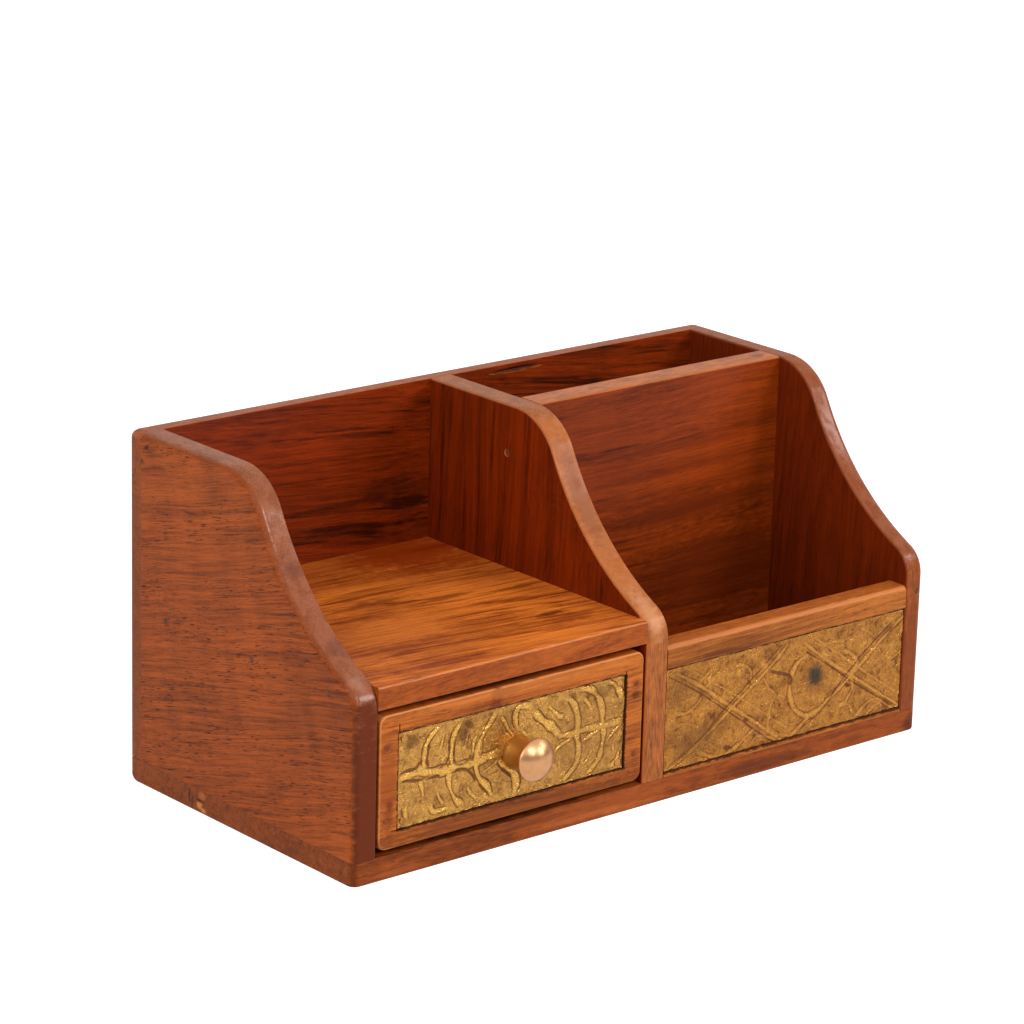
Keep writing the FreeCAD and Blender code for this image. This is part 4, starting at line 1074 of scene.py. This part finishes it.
def sheet_relief(across, up, ridges, grooves, strength, seed):
    """How high each point of a sheet stands, and how high its lines alone do."""
    lines = strength * chase(across, up, ridges, SIDE_HOLLOW)
    sunk = chase(across, up, grooves, 0.0)
    dents = crumple(across, up, DENT_SIZE, seed, 2)
    creases = folds(crumple(across, up, CREASE_SIZE, seed + 5, 2), CREASE_SHARPNESS)
    strokes = folds(crumple(across + STROKE_SWAY * dents, STROKE_STRETCH * up, STROKE_SIZE,
                            seed + 13, 1), STROKE_SHARPNESS)
    fields = folds(lines, 1 / LINE_FOOT)
    relief = (lines - strength * sunk + DENT_HEIGHT * dents + CREASE_HEIGHT * creases
              + STROKE_HEIGHT * fields * strokes - RELIEF_DROP)
    return relief, lines - sunk


def hammered_sheet(node, ridges, grooves, strength, seed):
    """A sheet's mesh: a fine grid with its lines beaten up, then its rim pulled back and
    closed. How high each point stands is kept for the material."""
    low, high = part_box(node)
    wide, tall = high.x - low.x, high.z - low.z
    deselect()
    bpy.ops.mesh.primitive_grid_add(x_subdivisions=round(wide / SHEET_STEP),
                                    y_subdivisions=round(tall / SHEET_STEP), size=1,
                                    location=((low.x + high.x) / 2, low.y, (low.z + high.z) / 2),
                                    rotation=(math.pi / 2, 0, 0))
    piece = bpy.context.object
    piece.scale = (wide, tall, 1)
    apply_place(piece)
    places = np.empty(len(piece.data.vertices) * 3)
    piece.data.vertices.foreach_get("co", places)
    places = places.reshape(-1, 3)
    across = (places[:, X] - low.x) / MM
    up = (places[:, Z] - low.z) / MM
    relief, lines = sheet_relief(across, up, ridges, grooves, strength, seed)
    places[:, Y] = low.y - np.clip(relief * MM + SHEET_RISE, RELIEF_LOWEST, RELIEF_HIGHEST)
    from_side = np.minimum(across, wide / MM - across)
    from_end = np.minimum(up, tall / MM - up)
    wave = 0.5 + 0.5 * crumple(across + up, up, RIM_WAVE_SIZE, seed + 3)
    pull = np.clip(1 - np.minimum(from_side, from_end) / RIM_REACH, 0, 1) * RIM_WAVE * wave
    inward = np.where(across < wide / MM / 2, 1, -1)
    upward = np.where(up < tall / MM / 2, 1, -1)
    places[:, X] += inward * pull * (from_side < RIM_REACH)
    places[:, Z] += upward * pull * (from_end < RIM_REACH)
    piece.data.vertices.foreach_set("co", places.ravel())
    for label, values in (("relief", relief), ("lines", lines)):
        kept = piece.data.attributes.new(label, "FLOAT", "POINT")
        kept.data.foreach_set("value", values)
    take(piece)
    bpy.ops.object.mode_set(mode="EDIT")
    bpy.ops.mesh.select_mode(type="VERT")
    bpy.ops.mesh.select_all(action="SELECT")
    bpy.ops.mesh.region_to_loop()
    extrude(0, SHEET_BACK, 0)
    bpy.ops.transform.resize(value=(1, 0, 1), center_override=(0, low.y + SHEET_BACK, 0))
    bpy.ops.mesh.edge_face_add()
    bpy.ops.mesh.select_all(action="SELECT")
    bpy.ops.mesh.normals_make_consistent(inside=False)
    bpy.ops.object.mode_set(mode="OBJECT")
    return piece


def tarnished_brass_group():
    """Hammered brass: golden on its ribs, duller between them and brown along their feet."""
    tree, given, wanted = new_group("TarnishedBrass", [
        ("Vector", "Vector", None),
        ("Relief", "Float", 0.0),
        ("Lines", "Float", 0.0),
        ("Bright", "Color", srgb(236, 186, 108)),
        ("Plain", "Color", srgb(200, 144, 76)),
        ("Brown", "Color", srgb(104, 58, 22)),
        ("Tarnish", "Float", 0.5),
    ], [("Color", "Color"), ("Roughness", "Float"), ("Height", "Float")])
    place = in_millimetres(tree, given["Vector"])
    curled = stray(tree, place, (0.22, 0.22, 0.3), (9.0, 9.0, 9.0))
    fold = above(tree, noise(tree, curled, (0.3, 0.3, 0.5)))
    fold = rise(tree, calc(tree, "ABSOLUTE", fold), 0.05, 0.0)
    crinkle = total(tree, noise(tree, curled, (0.4, 0.4, 0.6), 0.5), (fold, -0.35))
    clouds = rise(tree, noise(tree, place, (0.11, 0.11, 0.15), 4.0, 0.6), 0.46, 0.68)
    blots = rise(tree, noise(tree, place, (0.55, 0.55, 0.7), 3.0, 0.6), 0.50, 0.68)

    height = total(tree, given["Relief"], (above(tree, crinkle), 0.2))
    ribs = rise(tree, given["Lines"], 0.03, 0.14)
    rubbed = calc(tree, "MAXIMUM", ribs, rise(tree, height, 0.06, 0.26))
    feet = rise(tree, given["Lines"], -0.01, -0.05)
    hollow = rise(tree, height, -0.02, -0.2)
    brown = total(tree, hollow, (feet, 1.5), (clouds, 0.8), (blots, 0.7))
    brown = calc(tree, "MULTIPLY", brown, given["Tarnish"], clamp=True)
    brown = calc(tree, "MULTIPLY", brown, total(tree, 1.0, (rubbed, -0.7)))
    colour = blend(tree, rubbed, given["Plain"], given["Bright"])
    plug(tree, wanted["Color"], blend(tree, brown, colour, given["Brown"]))
    plug(tree, wanted["Roughness"], total(tree, 0.26, (brown, 0.25)))
    plug(tree, wanted["Height"], crinkle)
    return tree


TARNISHED_BRASS = tarnished_brass_group()


def kept_value(tree, label):
    """A value that the mesh keeps for each point."""
    attribute = tree.nodes.new("ShaderNodeAttribute")
    attribute.attribute_name = label
    return attribute.outputs["Fac"]


def brass_sheet(name, bright, plain, brown, tarnish, crinkle, marks=()):
    """The brass of an embossed sheet."""
    material, tree, shader, places = new_material(name)
    brass = place_group(tree, TARNISHED_BRASS, {
        "Vector": places["Object"], "Relief": kept_value(tree, "relief"),
        "Lines": kept_value(tree, "lines"), "Bright": srgb(*bright), "Plain": srgb(*plain),
        "Brown": srgb(*brown), "Tarnish": tarnish,
    })
    plug(tree, shader.inputs["Base Color"],
         add_marks(tree, brass["Color"], places["Object"], marks))
    plug(tree, shader.inputs["Roughness"], brass["Roughness"])
    shader.inputs["Metallic"].default_value = SHEET_METALLIC
    raise_bumps(tree, shader, brass["Height"], crinkle * MM)
    return material


bin_brass = brass_sheet("bin_brass", (204, 144, 60), (178, 118, 45), (110, 60, 20), 0.55, 0.25,
                        [((118, 70, 26), 0.6, (75.5, -61.5, 30.5), (8, 3, 7.5)),
                         ((54, 50, 34), 0.95, (75.9, -61.5, 30.5), (4, 3, 4.6)),
                         ((116, 70, 26), 0.6, (12, -61.5, 38), (9, 3, 8)),
                         ((116, 70, 26), 0.6, (20, -61.5, 18), (16, 3, 8))])
bin_sheet = hammered_sheet("bin_brass_plate", BIN_RIDGES, BIN_GROOVES, 0.28, 11.0)
finish(bin_sheet, "bin_brass_sheet", "carcass", "embossed_brass", bin_brass, "bin_brass_plate")


# ---- Drawer box ---------------------------------------------------------------------------
# Two thin sides, a back and a bottom in the same wood, left unpolished. The bottom slides into
# grooves along the sides and passes under the back.

GROOVE_DEPTH = 3.0 * MM
GROOVE_LOW = 12.6 * MM
GROOVE_HIGH = 15.8 * MM

UNPOLISHED = {"streaks": 0.3, "pores": 0.6, "wear_and_highlight": (196, 132, 86)}

side_grain = wood("drawer_box_hardwood", "Y", (25, 45, -20), (170, 104, 62), (104, 56, 30),
                  slant=(2, 0, 1), rings=3.5, figure=0.3, broad="X", edge=(178, 116, 72),
                  **UNPOLISHED)
back_grain = wood("drawer_back_hardwood", "X", (15, -40, 22), (172, 104, 60), (108, 58, 30),
                  slant=(0, 3, 0), rings=4.0, figure=0.3, broad="Y", edge=(178, 116, 72),
                  **UNPOLISHED)
bottom_grain = wood("drawer_bottom_hardwood", "X", (10, 30, 60), (166, 100, 58), (100, 54, 28),
                    slant=(0, 1, 3), rings=6.0, figure=0.45, broad="Z", **UNPOLISHED)
for node, brads_node, outward in (
    ("drawer_left_side", "drawer_left_brads", -1),
    ("drawer_right_side", "drawer_right_brads", 1),
):
    low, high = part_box(node)
    outer, inner = (low.x, high.x) if outward < 0 else (high.x, low.x)
    groove = math.copysign(GROOVE_DEPTH, inner - outer)
    draw_outline(
        (outer, low.y, low.z),
        (inner - outer, 0, 0),
        (0, 0, GROOVE_LOW - low.z),
        (-groove, 0, 0),
        (0, 0, GROOVE_HIGH - GROOVE_LOW),
        (groove, 0, 0),
        (0, 0, high.z - GROOVE_HIGH),
        (outer - inner, 0, 0),
    )
    side = saw_out(0, high.y - low.y, 0)
    round_over(side, SAWN_EDGE, either(edges_at((Z, high.z), along=Y),
                                       edges_at((Z, low.z), along=Y)), 3)
    round_over(side, SAWN_EDGE, edges_at((Y, high.y), (X, outer)), 3)
    dent_round_brads(side, brads_node, X, outward)
    finish(side, f"{node}_board", "drawer", "drawer_wood", side_grain, node)

box_back = sawn_board("drawer_back")
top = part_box("drawer_back")[1].z
round_over(box_back, SAWN_EDGE, edges_at((Z, top), along=X), 3)
finish(box_back, "drawer_back_board", "drawer", "drawer_wood", back_grain, "drawer_back")
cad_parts["drawer_bottom"].material_slots[0].material = bottom_grain


# ---- Drawer front -------------------------------------------------------------------------
# A thick hardwood front with rounded corners. The recess for the brass was sawn and chiselled
# out, and the saw ran on a little past three of its corners.

DRAWER_CORNER = 3.2 * MM
DRAWER_ARRIS = 0.9 * MM
STILE = 7.6 * MM
TOP_RAIL = 6.9 * MM
BOTTOM_RAIL = 5.8 * MM
FRONT_GROOVE = 3.0 * MM
GROOVE_INSET = 3.0 * MM
KERF = 0.5 * MM
UPPER_LEFT_KERF = 3.2 * MM
LOWER_LEFT_KERF = 2.56 * MM
UPPER_RIGHT_KERF = 1.28 * MM

face = sawn_board("drawer_front")
face_low, face_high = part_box("drawer_front")
recess_low = Vector((face_low.x + STILE, face_low.y - STILE, face_low.z + BOTTOM_RAIL))
recess_high = Vector((face_high.x - STILE, face_low.y + SHEET_RECESS, face_high.z - TOP_RAIL))
round_over(face, DRAWER_CORNER, edges_at(along=Y), 6)
round_over(face, DRAWER_ARRIS, edges_at((Y, face_low.y)))
kerfs = [
    block((recess_low.x, recess_low.y, recess_high.z - STILE),
          (recess_low.x + KERF, recess_high.y, recess_high.z + UPPER_LEFT_KERF)),
    block((recess_low.x - LOWER_LEFT_KERF, recess_low.y, recess_low.z),
          (recess_low.x + STILE, recess_high.y, recess_low.z + KERF)),
    block((recess_high.x - KERF, recess_low.y, recess_high.z - STILE),
          (recess_high.x, recess_high.y, recess_high.z + UPPER_RIGHT_KERF)),
]
groove = block((face_low.x + GROOVE_INSET, face_high.y - FRONT_GROOVE, GROOVE_LOW),
               (face_high.x - GROOVE_INSET, face_high.y + STILE, GROOVE_HIGH))
cut_away(face, [block(recess_low, recess_high), groove] + kerfs)
dent_round_brads(face, "drawer_front_brads", Y, -1)
face_wood = wood("drawer_front_hardwood", "X", (-15, -20, -60), (194, 106, 38), (102, 44, 12),
                 slant=(0, -1, 0), rings=5.0, figure=0.2, streaks=0.3, patches=1.0, contrast=1.5,
                 # The pale arris colour is a painted highlight along the front's rounded edges.
                 broad="Y", edge=(170, 88, 34), edge_share=0.4, wear_and_highlight=(222, 142, 80), wear_and_highlight_share=0.7,
                 recess=((-60.95, -62, 32.3), (48.25, 0, 16.5)),
                 marks=[((84, 34, 12), 0.8, (-8.6, -62, 41), (2.6, 3, 1.7)),
                        ((64, 28, 12), 0.7, (-112.5, -62, 25), (1.6, 3, 1.8)),
                        ((104, 40, 14), 0.75, (-69, -62, 51.5), (3, 3, 6)),
                        ((104, 40, 14), 0.6, (-64, -62, 54), (5, 3, 1.6)),
                        ((80, 32, 12), 0.6, (-60, -62, 11.5), (80, 8, 5)),
                        ((140, 66, 24), 0.5, (-113.5, -62, 33), (4.5, 3, 22)),
                        ((214, 126, 60), 0.4, (-58, -62, 54.3), (58, 3, 3)),
                        ((96, 40, 14), 0.5, (-113, -62, 20), (2.2, 3, 7)),
                        # The mark below darkens the front's top face under the shelf: painted
                        # shade in the gap.
                        ((74, 30, 10), 0.7, (-61, -55.5, 56.2), (70, 9.5, 1.2))]
                 + [((128, 62, 24), 0.7, place / MM, (2.6, 2, 2.6))
                    for place in brad_heads("drawer_front_brads", Y, -1)])
finish(face, "drawer_front_board", "drawer", "drawer_wood", face_wood, "drawer_front")


# ---- Drawer brads -------------------------------------------------------------------------
# The same brads, a little shorter, hold the drawer's front and back to its sides. Those under
# the bottom are hidden by the base board.

DRAWER_BRAD_LENGTH = 18.0 * MM

short_brad = brad(DRAWER_BRAD_LENGTH, HEAD_RADIUS, HEAD_HEIGHT, SHANK_RADIUS)
for node, axis, outward, sink in (
    ("drawer_front_brads", Y, -1, HEAD_SINK), ("drawer_left_brads", X, -1, HEAD_SINK),
    ("drawer_right_brads", X, 1, HEAD_SINK), ("drawer_bottom_brads", Z, -1, 0.0),
):
    driven = drive(short_brad, node, axis, outward, sink)
    filler = STOPPED_BRADS if node == "drawer_front_brads" else FILLED_BRADS
    finish(driven, f"{node}_driven", "drawer", "brad_steel", filler, node)
bpy.data.objects.remove(short_brad)


# ---- Drawer brass plate -------------------------------------------------------------------
# A brass sheet hammered over a leafy stem, with curved ribs that spread from the knob to both
# sides. It lies in the drawer front's recess.

DRAWER_RIDGES = [
    (2.2, 0.42, [(-0.2, 16.8), (6.7, 17.7), (12.3, 16.8), (18.9, 15.9), (25.6, 16.1),
                 (32.3, 15.7), (37.8, 16.8), (43.2, 17.5)]),
    (3.0, 0.30, [(6.7, 18.1), (10.6, 18.4), (12.3, 17.5)]),
    (2.0, 0.38, [(66.7, 17.5), (72.3, 16.6), (78.9, 17.0), (86.7, 16.8), (95.0, 16.7)]),
    (1.5, 0.50, [(17.1, 31.3), (13.9, 29.1), (11.7, 26.0), (10.8, 21.9), (10.8, 17.7)]),
    (1.2, 0.35, [(9.2, 14.8), (10.1, 11.9), (10.8, 8.0)]),
    (1.6, 0.50, [(26.2, 31.0), (23.6, 28.0), (22.4, 24.7), (22.1, 20.8), (22.3, 16.9),
                 (21.2, 13.6), (21.6, 10.3), (22.9, 6.9), (24.7, 4.4), (27.3, 2.1)]),
    (1.7, 0.55, [(40.6, 31.3), (38.6, 28.6), (36.2, 25.7), (34.3, 22.8), (33.6, 20.1),
                 (32.9, 16.9), (32.6, 13.9), (33.5, 10.8), (35.4, 8.4), (37.8, 5.8),
                 (39.7, 2.1)]),
    (1.0, 0.30, [(19.1, 29.1), (18.5, 26.4), (17.5, 23.3)]),
    (1.0, 0.30, [(32.7, 25.8), (31.4, 22.5), (31.2, 18.8)]),
    (1.0, 0.26, [(28.9, 27.5), (28.4, 24.1), (27.6, 21.4)]),
    (1.8, 0.55, [(42.0, 15.0), (43.6, 12.8), (45.8, 10.8), (48.0, 9.1), (49.6, 6.4),
                 (49.6, 3.3), (48.6, 1.0)]),
    (0.9, 0.30, [(42.3, 14.8), (38.9, 13.0), (35.4, 11.3)]),
    (1.1, 0.40, [(42.7, 29.4), (44.5, 26.4), (46.3, 23.5), (48.3, 21.7)]),
    (1.8, 0.50, [(55.6, 30.1), (52.3, 31.1), (49.5, 30.4), (48.7, 26.9), (49.7, 23.0)]),
    (1.0, 0.30, [(50.9, 22.8), (52.8, 21.4), (54.2, 19.7)]),
    (1.0, 0.30, [(16.5, 9.7), (17.4, 6.9), (19.6, 3.9)]),
    (1.0, 0.30, [(28.9, 8.6), (30.3, 5.8), (33.2, 3.0)]),
    (1.2, 0.32, [(13.6, 5.3), (15.4, 2.6), (21.4, 2.8)]),
    (1.5, 0.30, [(3.2, 7.5), (3.8, 1.4)]),
    (2.0, 0.50, [(56.5, 28.6), (58.5, 26.1), (61.4, 23.5), (64.3, 21.3), (66.7, 18.8),
                 (67.8, 16.8)]),
    (1.4, 0.40, [(62.8, 28.8), (65.2, 26.4), (67.8, 24.1), (70.3, 23.5)]),
    (1.6, 0.50, [(71.5, 29.7), (73.9, 26.9), (75.4, 23.6), (75.9, 19.7), (75.6, 16.4),
                 (76.3, 13.0), (76.6, 9.7), (75.6, 5.8), (72.8, 3.0), (69.5, 0.8)]),
    (1.3, 0.40, [(78.2, 28.4), (80.3, 25.8), (81.8, 22.8)]),
    (1.7, 0.50, [(76.5, 31.6), (81.2, 30.6), (84.0, 27.9), (85.7, 25.0), (86.6, 21.5),
                 (86.8, 17.5), (87.4, 13.3), (86.8, 9.5), (85.6, 5.7), (82.9, 3.0),
                 (79.6, 0.6)]),
    (1.6, 0.50, [(88.7, 31.9), (92.3, 29.7), (94.4, 26.8), (95.2, 24.4)]),
    (1.1, 0.32, [(94.6, 6.9), (93.5, 3.6), (90.4, 1.1)]),
    (0.9, 0.60, [(65.8, 12.1), (69.2, 13.9), (73.6, 15.1)]),
    (0.9, 0.55, [(78.2, 13.0), (81.7, 14.4), (85.4, 15.6)]),
    (1.0, 0.60, [(88.9, 10.8), (91.3, 13.0), (94.3, 15.0)]),
    (0.8, 0.50, [(11.2, 14.8), (13.9, 15.0), (16.5, 14.6)]),
    (0.8, 0.50, [(34.5, 15.5), (37.8, 15.7), (41.2, 15.9)]),
    (0.9, 0.28, [(82.5, 9.9), (80.7, 6.9), (78.7, 4.5)]),
    (0.9, 0.25, [(91.7, 9.9), (91.8, 5.8)]),
    (0.9, 0.25, [(68.0, 8.8), (68.5, 5.5)]),
    (1.6, 0.50, [(77.0, 12.1), (77.5, 11.5)]),
    (1.6, 0.40, [(55.6, 0.6), (56.9, 1.7)]),
]
DRAWER_GROOVES = [
    (0.9, 0.30, [(1.4, 18.7), (6.7, 19.0), (10.7, 21.4)]),
    (0.8, 0.30, [(12.8, 26.4), (12.2, 21.9), (12.6, 17.7)]),
    (0.8, 0.30, [(21.3, 26.4), (21.2, 21.4), (20.1, 18.4), (16.7, 16.6)]),
    (0.8, 0.30, [(23.4, 24.7), (23.2, 20.3), (24.1, 17.0), (27.8, 16.6), (30.6, 18.6)]),
    (0.8, 0.35, [(1.7, 16.1), (7.8, 15.0), (12.3, 15.0), (17.8, 14.6)]),
    (0.8, 0.30, [(23.4, 15.0), (27.8, 14.4), (30.9, 11.9), (32.3, 9.1)]),
    (0.8, 0.30, [(33.9, 8.0), (36.2, 5.8), (38.0, 2.8)]),
    (0.8, 0.35, [(43.2, 11.4), (45.6, 9.5), (47.8, 7.5)]),
    (1.3, 0.45, [(76.5, 15.0), (77.2, 12.8)]),
    (2.2, 0.20, [(27.3, 30.8), (31.4, 28.0)]),
    (2.6, 0.20, [(72.3, 30.8), (75.0, 28.8)]),
    (2.2, 0.20, [(70.6, 21.4), (72.0, 20.8)]),
    (0.9, 0.30, [(9.4, 7.6), (9.7, 7.1)]),
]

drawer_brass = brass_sheet("drawer_brass", (218, 166, 78), (192, 140, 66), (116, 72, 28), 0.45,
                           0.3, [((96, 54, 20), 0.7, (-104, -61.5, 45), (4.5, 3, 3)),
                                 ((96, 56, 24), 0.7, (-82, -61.5, 43), (3, 3, 5)),
                                 ((110, 66, 30), 0.5, (-22, -61.5, 45), (7, 3, 2.6)),
                                 ((140, 92, 42), 0.35, (-28, -61.5, 30), (20, 3, 18))])
drawer_sheet = hammered_sheet("drawer_brass_plate", DRAWER_RIDGES, DRAWER_GROOVES, 0.46, 3.0)
finish(drawer_sheet, "drawer_brass_sheet", "drawer", "embossed_brass", drawer_brass,
       "drawer_brass_plate")


# ---- Plate pins ---------------------------------------------------------------------------
# Small round-headed brass pins that hold the drawer's sheet at its corners. They are tapped
# through the sheet into the bottom of its recess.

PIN_RADIUS = 1.25 * MM
PIN_HEAD = 0.5 * MM
PIN_SHANK = 0.5 * MM
PIN_LENGTH = 6.4 * MM

pin = brad(PIN_LENGTH, PIN_RADIUS, PIN_HEAD, PIN_SHANK)
pins = drive(pin, "drawer_plate_pins", Y, -1, 0.0)
bpy.data.objects.remove(pin)
pin_brass = brass_sheet("pin_brass", (222, 170, 96), (186, 130, 66), (90, 50, 20), 0.5, 0.1)
finish(pins, "drawer_plate_pins_driven", "drawer", "knob_brass", pin_brass,
       "drawer_plate_pins")


# ---- Knob ---------------------------------------------------------------------------------
# Turned from solid brass: a neck that flares on to the plate, and a shallow domed head with a
# thin rim. The head is rubbed bright by fingers and the neck has yellowed.

KNOB_FOOT = 5.9 * MM
KNOB_FOOT_EDGE = 0.9 * MM
KNOB_WAIST = 4.8 * MM
KNOB_WAIST_HEIGHT = 7.6 * MM
KNOB_HEAD = 7.4 * MM
KNOB_HEAD_HEIGHT = 3.8 * MM
KNOB_RIM = 0.8 * MM
KNOB_RIM_ROUND = 0.25 * MM
TURNING_MARKS = (0, 9000, 0)
TURNING_DEPTH = 0.02 * MM
DOME_STEPS = 14
FLARE_STEPS = 10
TURNING_STEPS = 96

knob_low, knob_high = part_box("drawer_knob")
knob_middle = (knob_low + knob_high) / 2
crown = Vector((knob_middle.x, knob_low.y, knob_middle.z))
seat = Vector((knob_middle.x, knob_high.y, knob_middle.z))
dome_radius = (KNOB_HEAD**2 + KNOB_HEAD_HEIGHT**2) / (2 * KNOB_HEAD_HEIGHT)
flare_fall = KNOB_WAIST_HEIGHT - KNOB_FOOT_EDGE
flare_out = KNOB_FOOT - KNOB_WAIST
flare_radius = (flare_out**2 + flare_fall**2) / (2 * flare_out)
draw_outline(crown)
bpy.ops.mesh.spin(steps=DOME_STEPS, angle=-math.asin(KNOB_HEAD / dome_radius),
                  center=crown + Vector((0, dome_radius, 0)), axis=(0, 0, 1))
extrude(0, KNOB_RIM, 0)
neck_length = knob_high.y - knob_low.y - KNOB_HEAD_HEIGHT - KNOB_RIM - KNOB_WAIST_HEIGHT
extrude(KNOB_WAIST - KNOB_HEAD, neck_length, 0)
bpy.ops.mesh.spin(steps=FLARE_STEPS, angle=math.asin(flare_fall / flare_radius),
                  center=seat + Vector((KNOB_WAIST + flare_radius, -KNOB_WAIST_HEIGHT, 0)),
                  axis=(0, 0, 1))
extrude(0, KNOB_FOOT_EDGE, 0)
extrude(-KNOB_FOOT, 0, 0)
bpy.ops.mesh.select_all(action="SELECT")
bpy.ops.mesh.remove_doubles(threshold=MERGED_BELOW)
bpy.ops.mesh.select_all(action="SELECT")
bpy.ops.mesh.spin(steps=TURNING_STEPS, angle=2 * math.pi, center=crown, axis=(0, 1, 0))
bpy.ops.mesh.select_all(action="SELECT")
bpy.ops.mesh.remove_doubles(threshold=MERGED_BELOW)
bpy.ops.mesh.normals_make_consistent(inside=False)
bpy.ops.object.mode_set(mode="OBJECT")
turned_knob = bpy.context.object
rim_front = crown.y + KNOB_HEAD_HEIGHT
round_over(turned_knob, KNOB_RIM_ROUND,
           either(edges_at((Y, rim_front)), edges_at((Y, rim_front + KNOB_RIM))), 3)

knob_brass, tree, shader, places = new_material("turned_brass")
on_neck = rise(tree, split(tree, places["Object"])["Y"], rim_front + KNOB_RIM / 2,
               rim_front + KNOB_RIM * 2)
smudge = noise(tree, places["Object"], (260, 260, 260), 3.0, 0.6)
cloudy = calc(tree, "MULTIPLY", rise(tree, smudge, 0.45, 0.70), 0.5)
head_colour = blend(tree, cloudy, srgb(205, 153, 108), srgb(184, 131, 86))
plug(tree, shader.inputs["Base Color"], blend(tree, on_neck, head_colour, srgb(184, 132, 66)))
plug(tree, shader.inputs["Roughness"], total(tree, 0.25, (smudge, 0.16), (on_neck, 0.08)))
shader.inputs["Metallic"].default_value = 1.0
raise_bumps(tree, shader, noise(tree, places["Object"], TURNING_MARKS, 1.0), TURNING_DEPTH)
finish(turned_knob, "turned_knob", "drawer", "knob_brass", knob_brass, "drawer_knob")


# ---- Knob screw ---------------------------------------------------------------------------
# A plain steel screw from inside the drawer front holds the knob. It shows only when the drawer
# is open.

screw_steel, tree, shader, places = new_material("screw_steel")
dull = noise(tree, places["Object"], (700, 700, 700), 3.0, 0.6)
plug(tree, shader.inputs["Base Color"],
     blend(tree, dull, srgb(150, 146, 140), srgb(104, 98, 92)))
plug(tree, shader.inputs["Roughness"], total(tree, 0.25, (dull, 0.35)))
shader.inputs["Metallic"].default_value = 1.0
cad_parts["knob_screw"].material_slots[0].material = screw_steel


# ---- Studio -------------------------------------------------------------------------------
# A pale table under four softboxes, in a pale room that is dark to reflections low down in
# front. The table looks white to the camera and keeps the stand's soft shadow.

CAMERA_PLACE = (-856.6 * MM, -990.3 * MM, 483.4 * MM)
CAMERA_TURN = (73.163, -1.467, -40.021)
CAMERA_LENS = 140.64
CAMERA_SENSOR = 36.0
TABLE_WIDTH = 12.0
TABLE_COLOUR = (0.80, 0.79, 0.78, 1.0)
SEEN_GLOW = 0.75
MIRRORED_GLOW = 0.35
WALL_COLOUR = (1.0, 0.98, 0.96, 1.0)
WALL_STRENGTH = 0.45
BACKDROP_COLOUR = (1.0, 1.0, 1.0, 1.0)
UNLIT_LOSS = 0.88
SOFTBOX_AIM = Vector((0, 0, 0.05))
SOFTBOXES = (
    ("right_softbox", (0.9, -1.55, 0.85), 0.5, 11.0),
    ("left_softbox", (-0.35, -1.5, 1.1), 0.5, 11.0),
    ("far_softbox", (1.4, -0.85, 0.97), 0.4, 5.0),
    ("side_softbox", (-1.7, -0.3, 0.9), 1.0, 12.0),
)


def bare_tree(owner):
    """A material's or a room's emptied tree, and what tells it which rays see it."""
    owner.use_nodes = True
    owner.node_tree.nodes.clear()
    return owner.node_tree, owner.node_tree.nodes.new("ShaderNodeLightPath").outputs


deselect()
bpy.ops.object.camera_add(location=CAMERA_PLACE,
                          rotation=[math.radians(turn) for turn in CAMERA_TURN])
camera = bpy.context.object
camera.name = "camera"
camera.data.sensor_width = CAMERA_SENSOR
camera.data.lens = CAMERA_LENS
bpy.context.scene.camera = camera

deselect()
bpy.ops.mesh.primitive_grid_add(x_subdivisions=2, y_subdivisions=2, size=TABLE_WIDTH)
table_top = bpy.context.object
table_top.name = "table_top"
table_paint = bpy.data.materials.new("table_paint")
tree, seen = bare_tree(table_paint)
paint = tree.nodes.new("ShaderNodeBsdfDiffuse")
paint.inputs["Color"].default_value = TABLE_COLOUR
glow = tree.nodes.new("ShaderNodeEmission")
mirrored = calc(tree, "MAXIMUM", seen["Is Glossy Ray"], seen["Is Transmission Ray"])
plug(tree, glow.inputs["Strength"],
     total(tree, 0.0, (mirrored, MIRRORED_GLOW), (seen["Is Camera Ray"], SEEN_GLOW)))
both = tree.nodes.new("ShaderNodeAddShader")
plug(tree, both.inputs[0], paint.outputs[0])
plug(tree, both.inputs[1], glow.outputs[0])
plug(tree, tree.nodes.new("ShaderNodeOutputMaterial").inputs["Surface"], both.outputs[0])
table_top.data.materials.append(table_paint)

room = bpy.data.worlds.new("pale_room")
bpy.context.scene.world = room
tree, seen = bare_tree(room)
walls = tree.nodes.new("ShaderNodeBackground")
walls.inputs["Color"].default_value = WALL_COLOUR
walls.inputs["Strength"].default_value = WALL_STRENGTH
backdrop = tree.nodes.new("ShaderNodeBackground")
backdrop.inputs["Color"].default_value = BACKDROP_COLOUR
heading = split(tree, tree.nodes.new("ShaderNodeTexCoord").outputs["Generated"])
low = rise(tree, heading["Z"], 0.5, 0.28)
ahead = rise(tree, heading["Y"], 0.1, -0.4)
unlit = calc(tree, "MULTIPLY", low, ahead, seen["Is Glossy Ray"])
plug(tree, backdrop.inputs["Strength"], total(tree, 1.0, (unlit, -UNLIT_LOSS)))
direct = calc(tree, "MAXIMUM", seen["Is Camera Ray"], seen["Is Glossy Ray"],
              seen["Is Transmission Ray"])
both = tree.nodes.new("ShaderNodeMixShader")
plug(tree, both.inputs["Fac"], direct)
plug(tree, both.inputs[1], walls.outputs[0])
plug(tree, both.inputs[2], backdrop.outputs[0])
plug(tree, tree.nodes.new("ShaderNodeOutputWorld").inputs["Surface"], both.outputs[0])

for name, place, width, power in SOFTBOXES:
    deselect()
    turn = (SOFTBOX_AIM - Vector(place)).to_track_quat("-Z", "Y").to_euler()
    bpy.ops.object.light_add(type="AREA", location=place, rotation=turn)
    lamp = bpy.context.object
    lamp.name = name
    lamp.data.size = width
    lamp.data.energy = power

bpy.context.scene.view_settings.view_transform = "Standard"
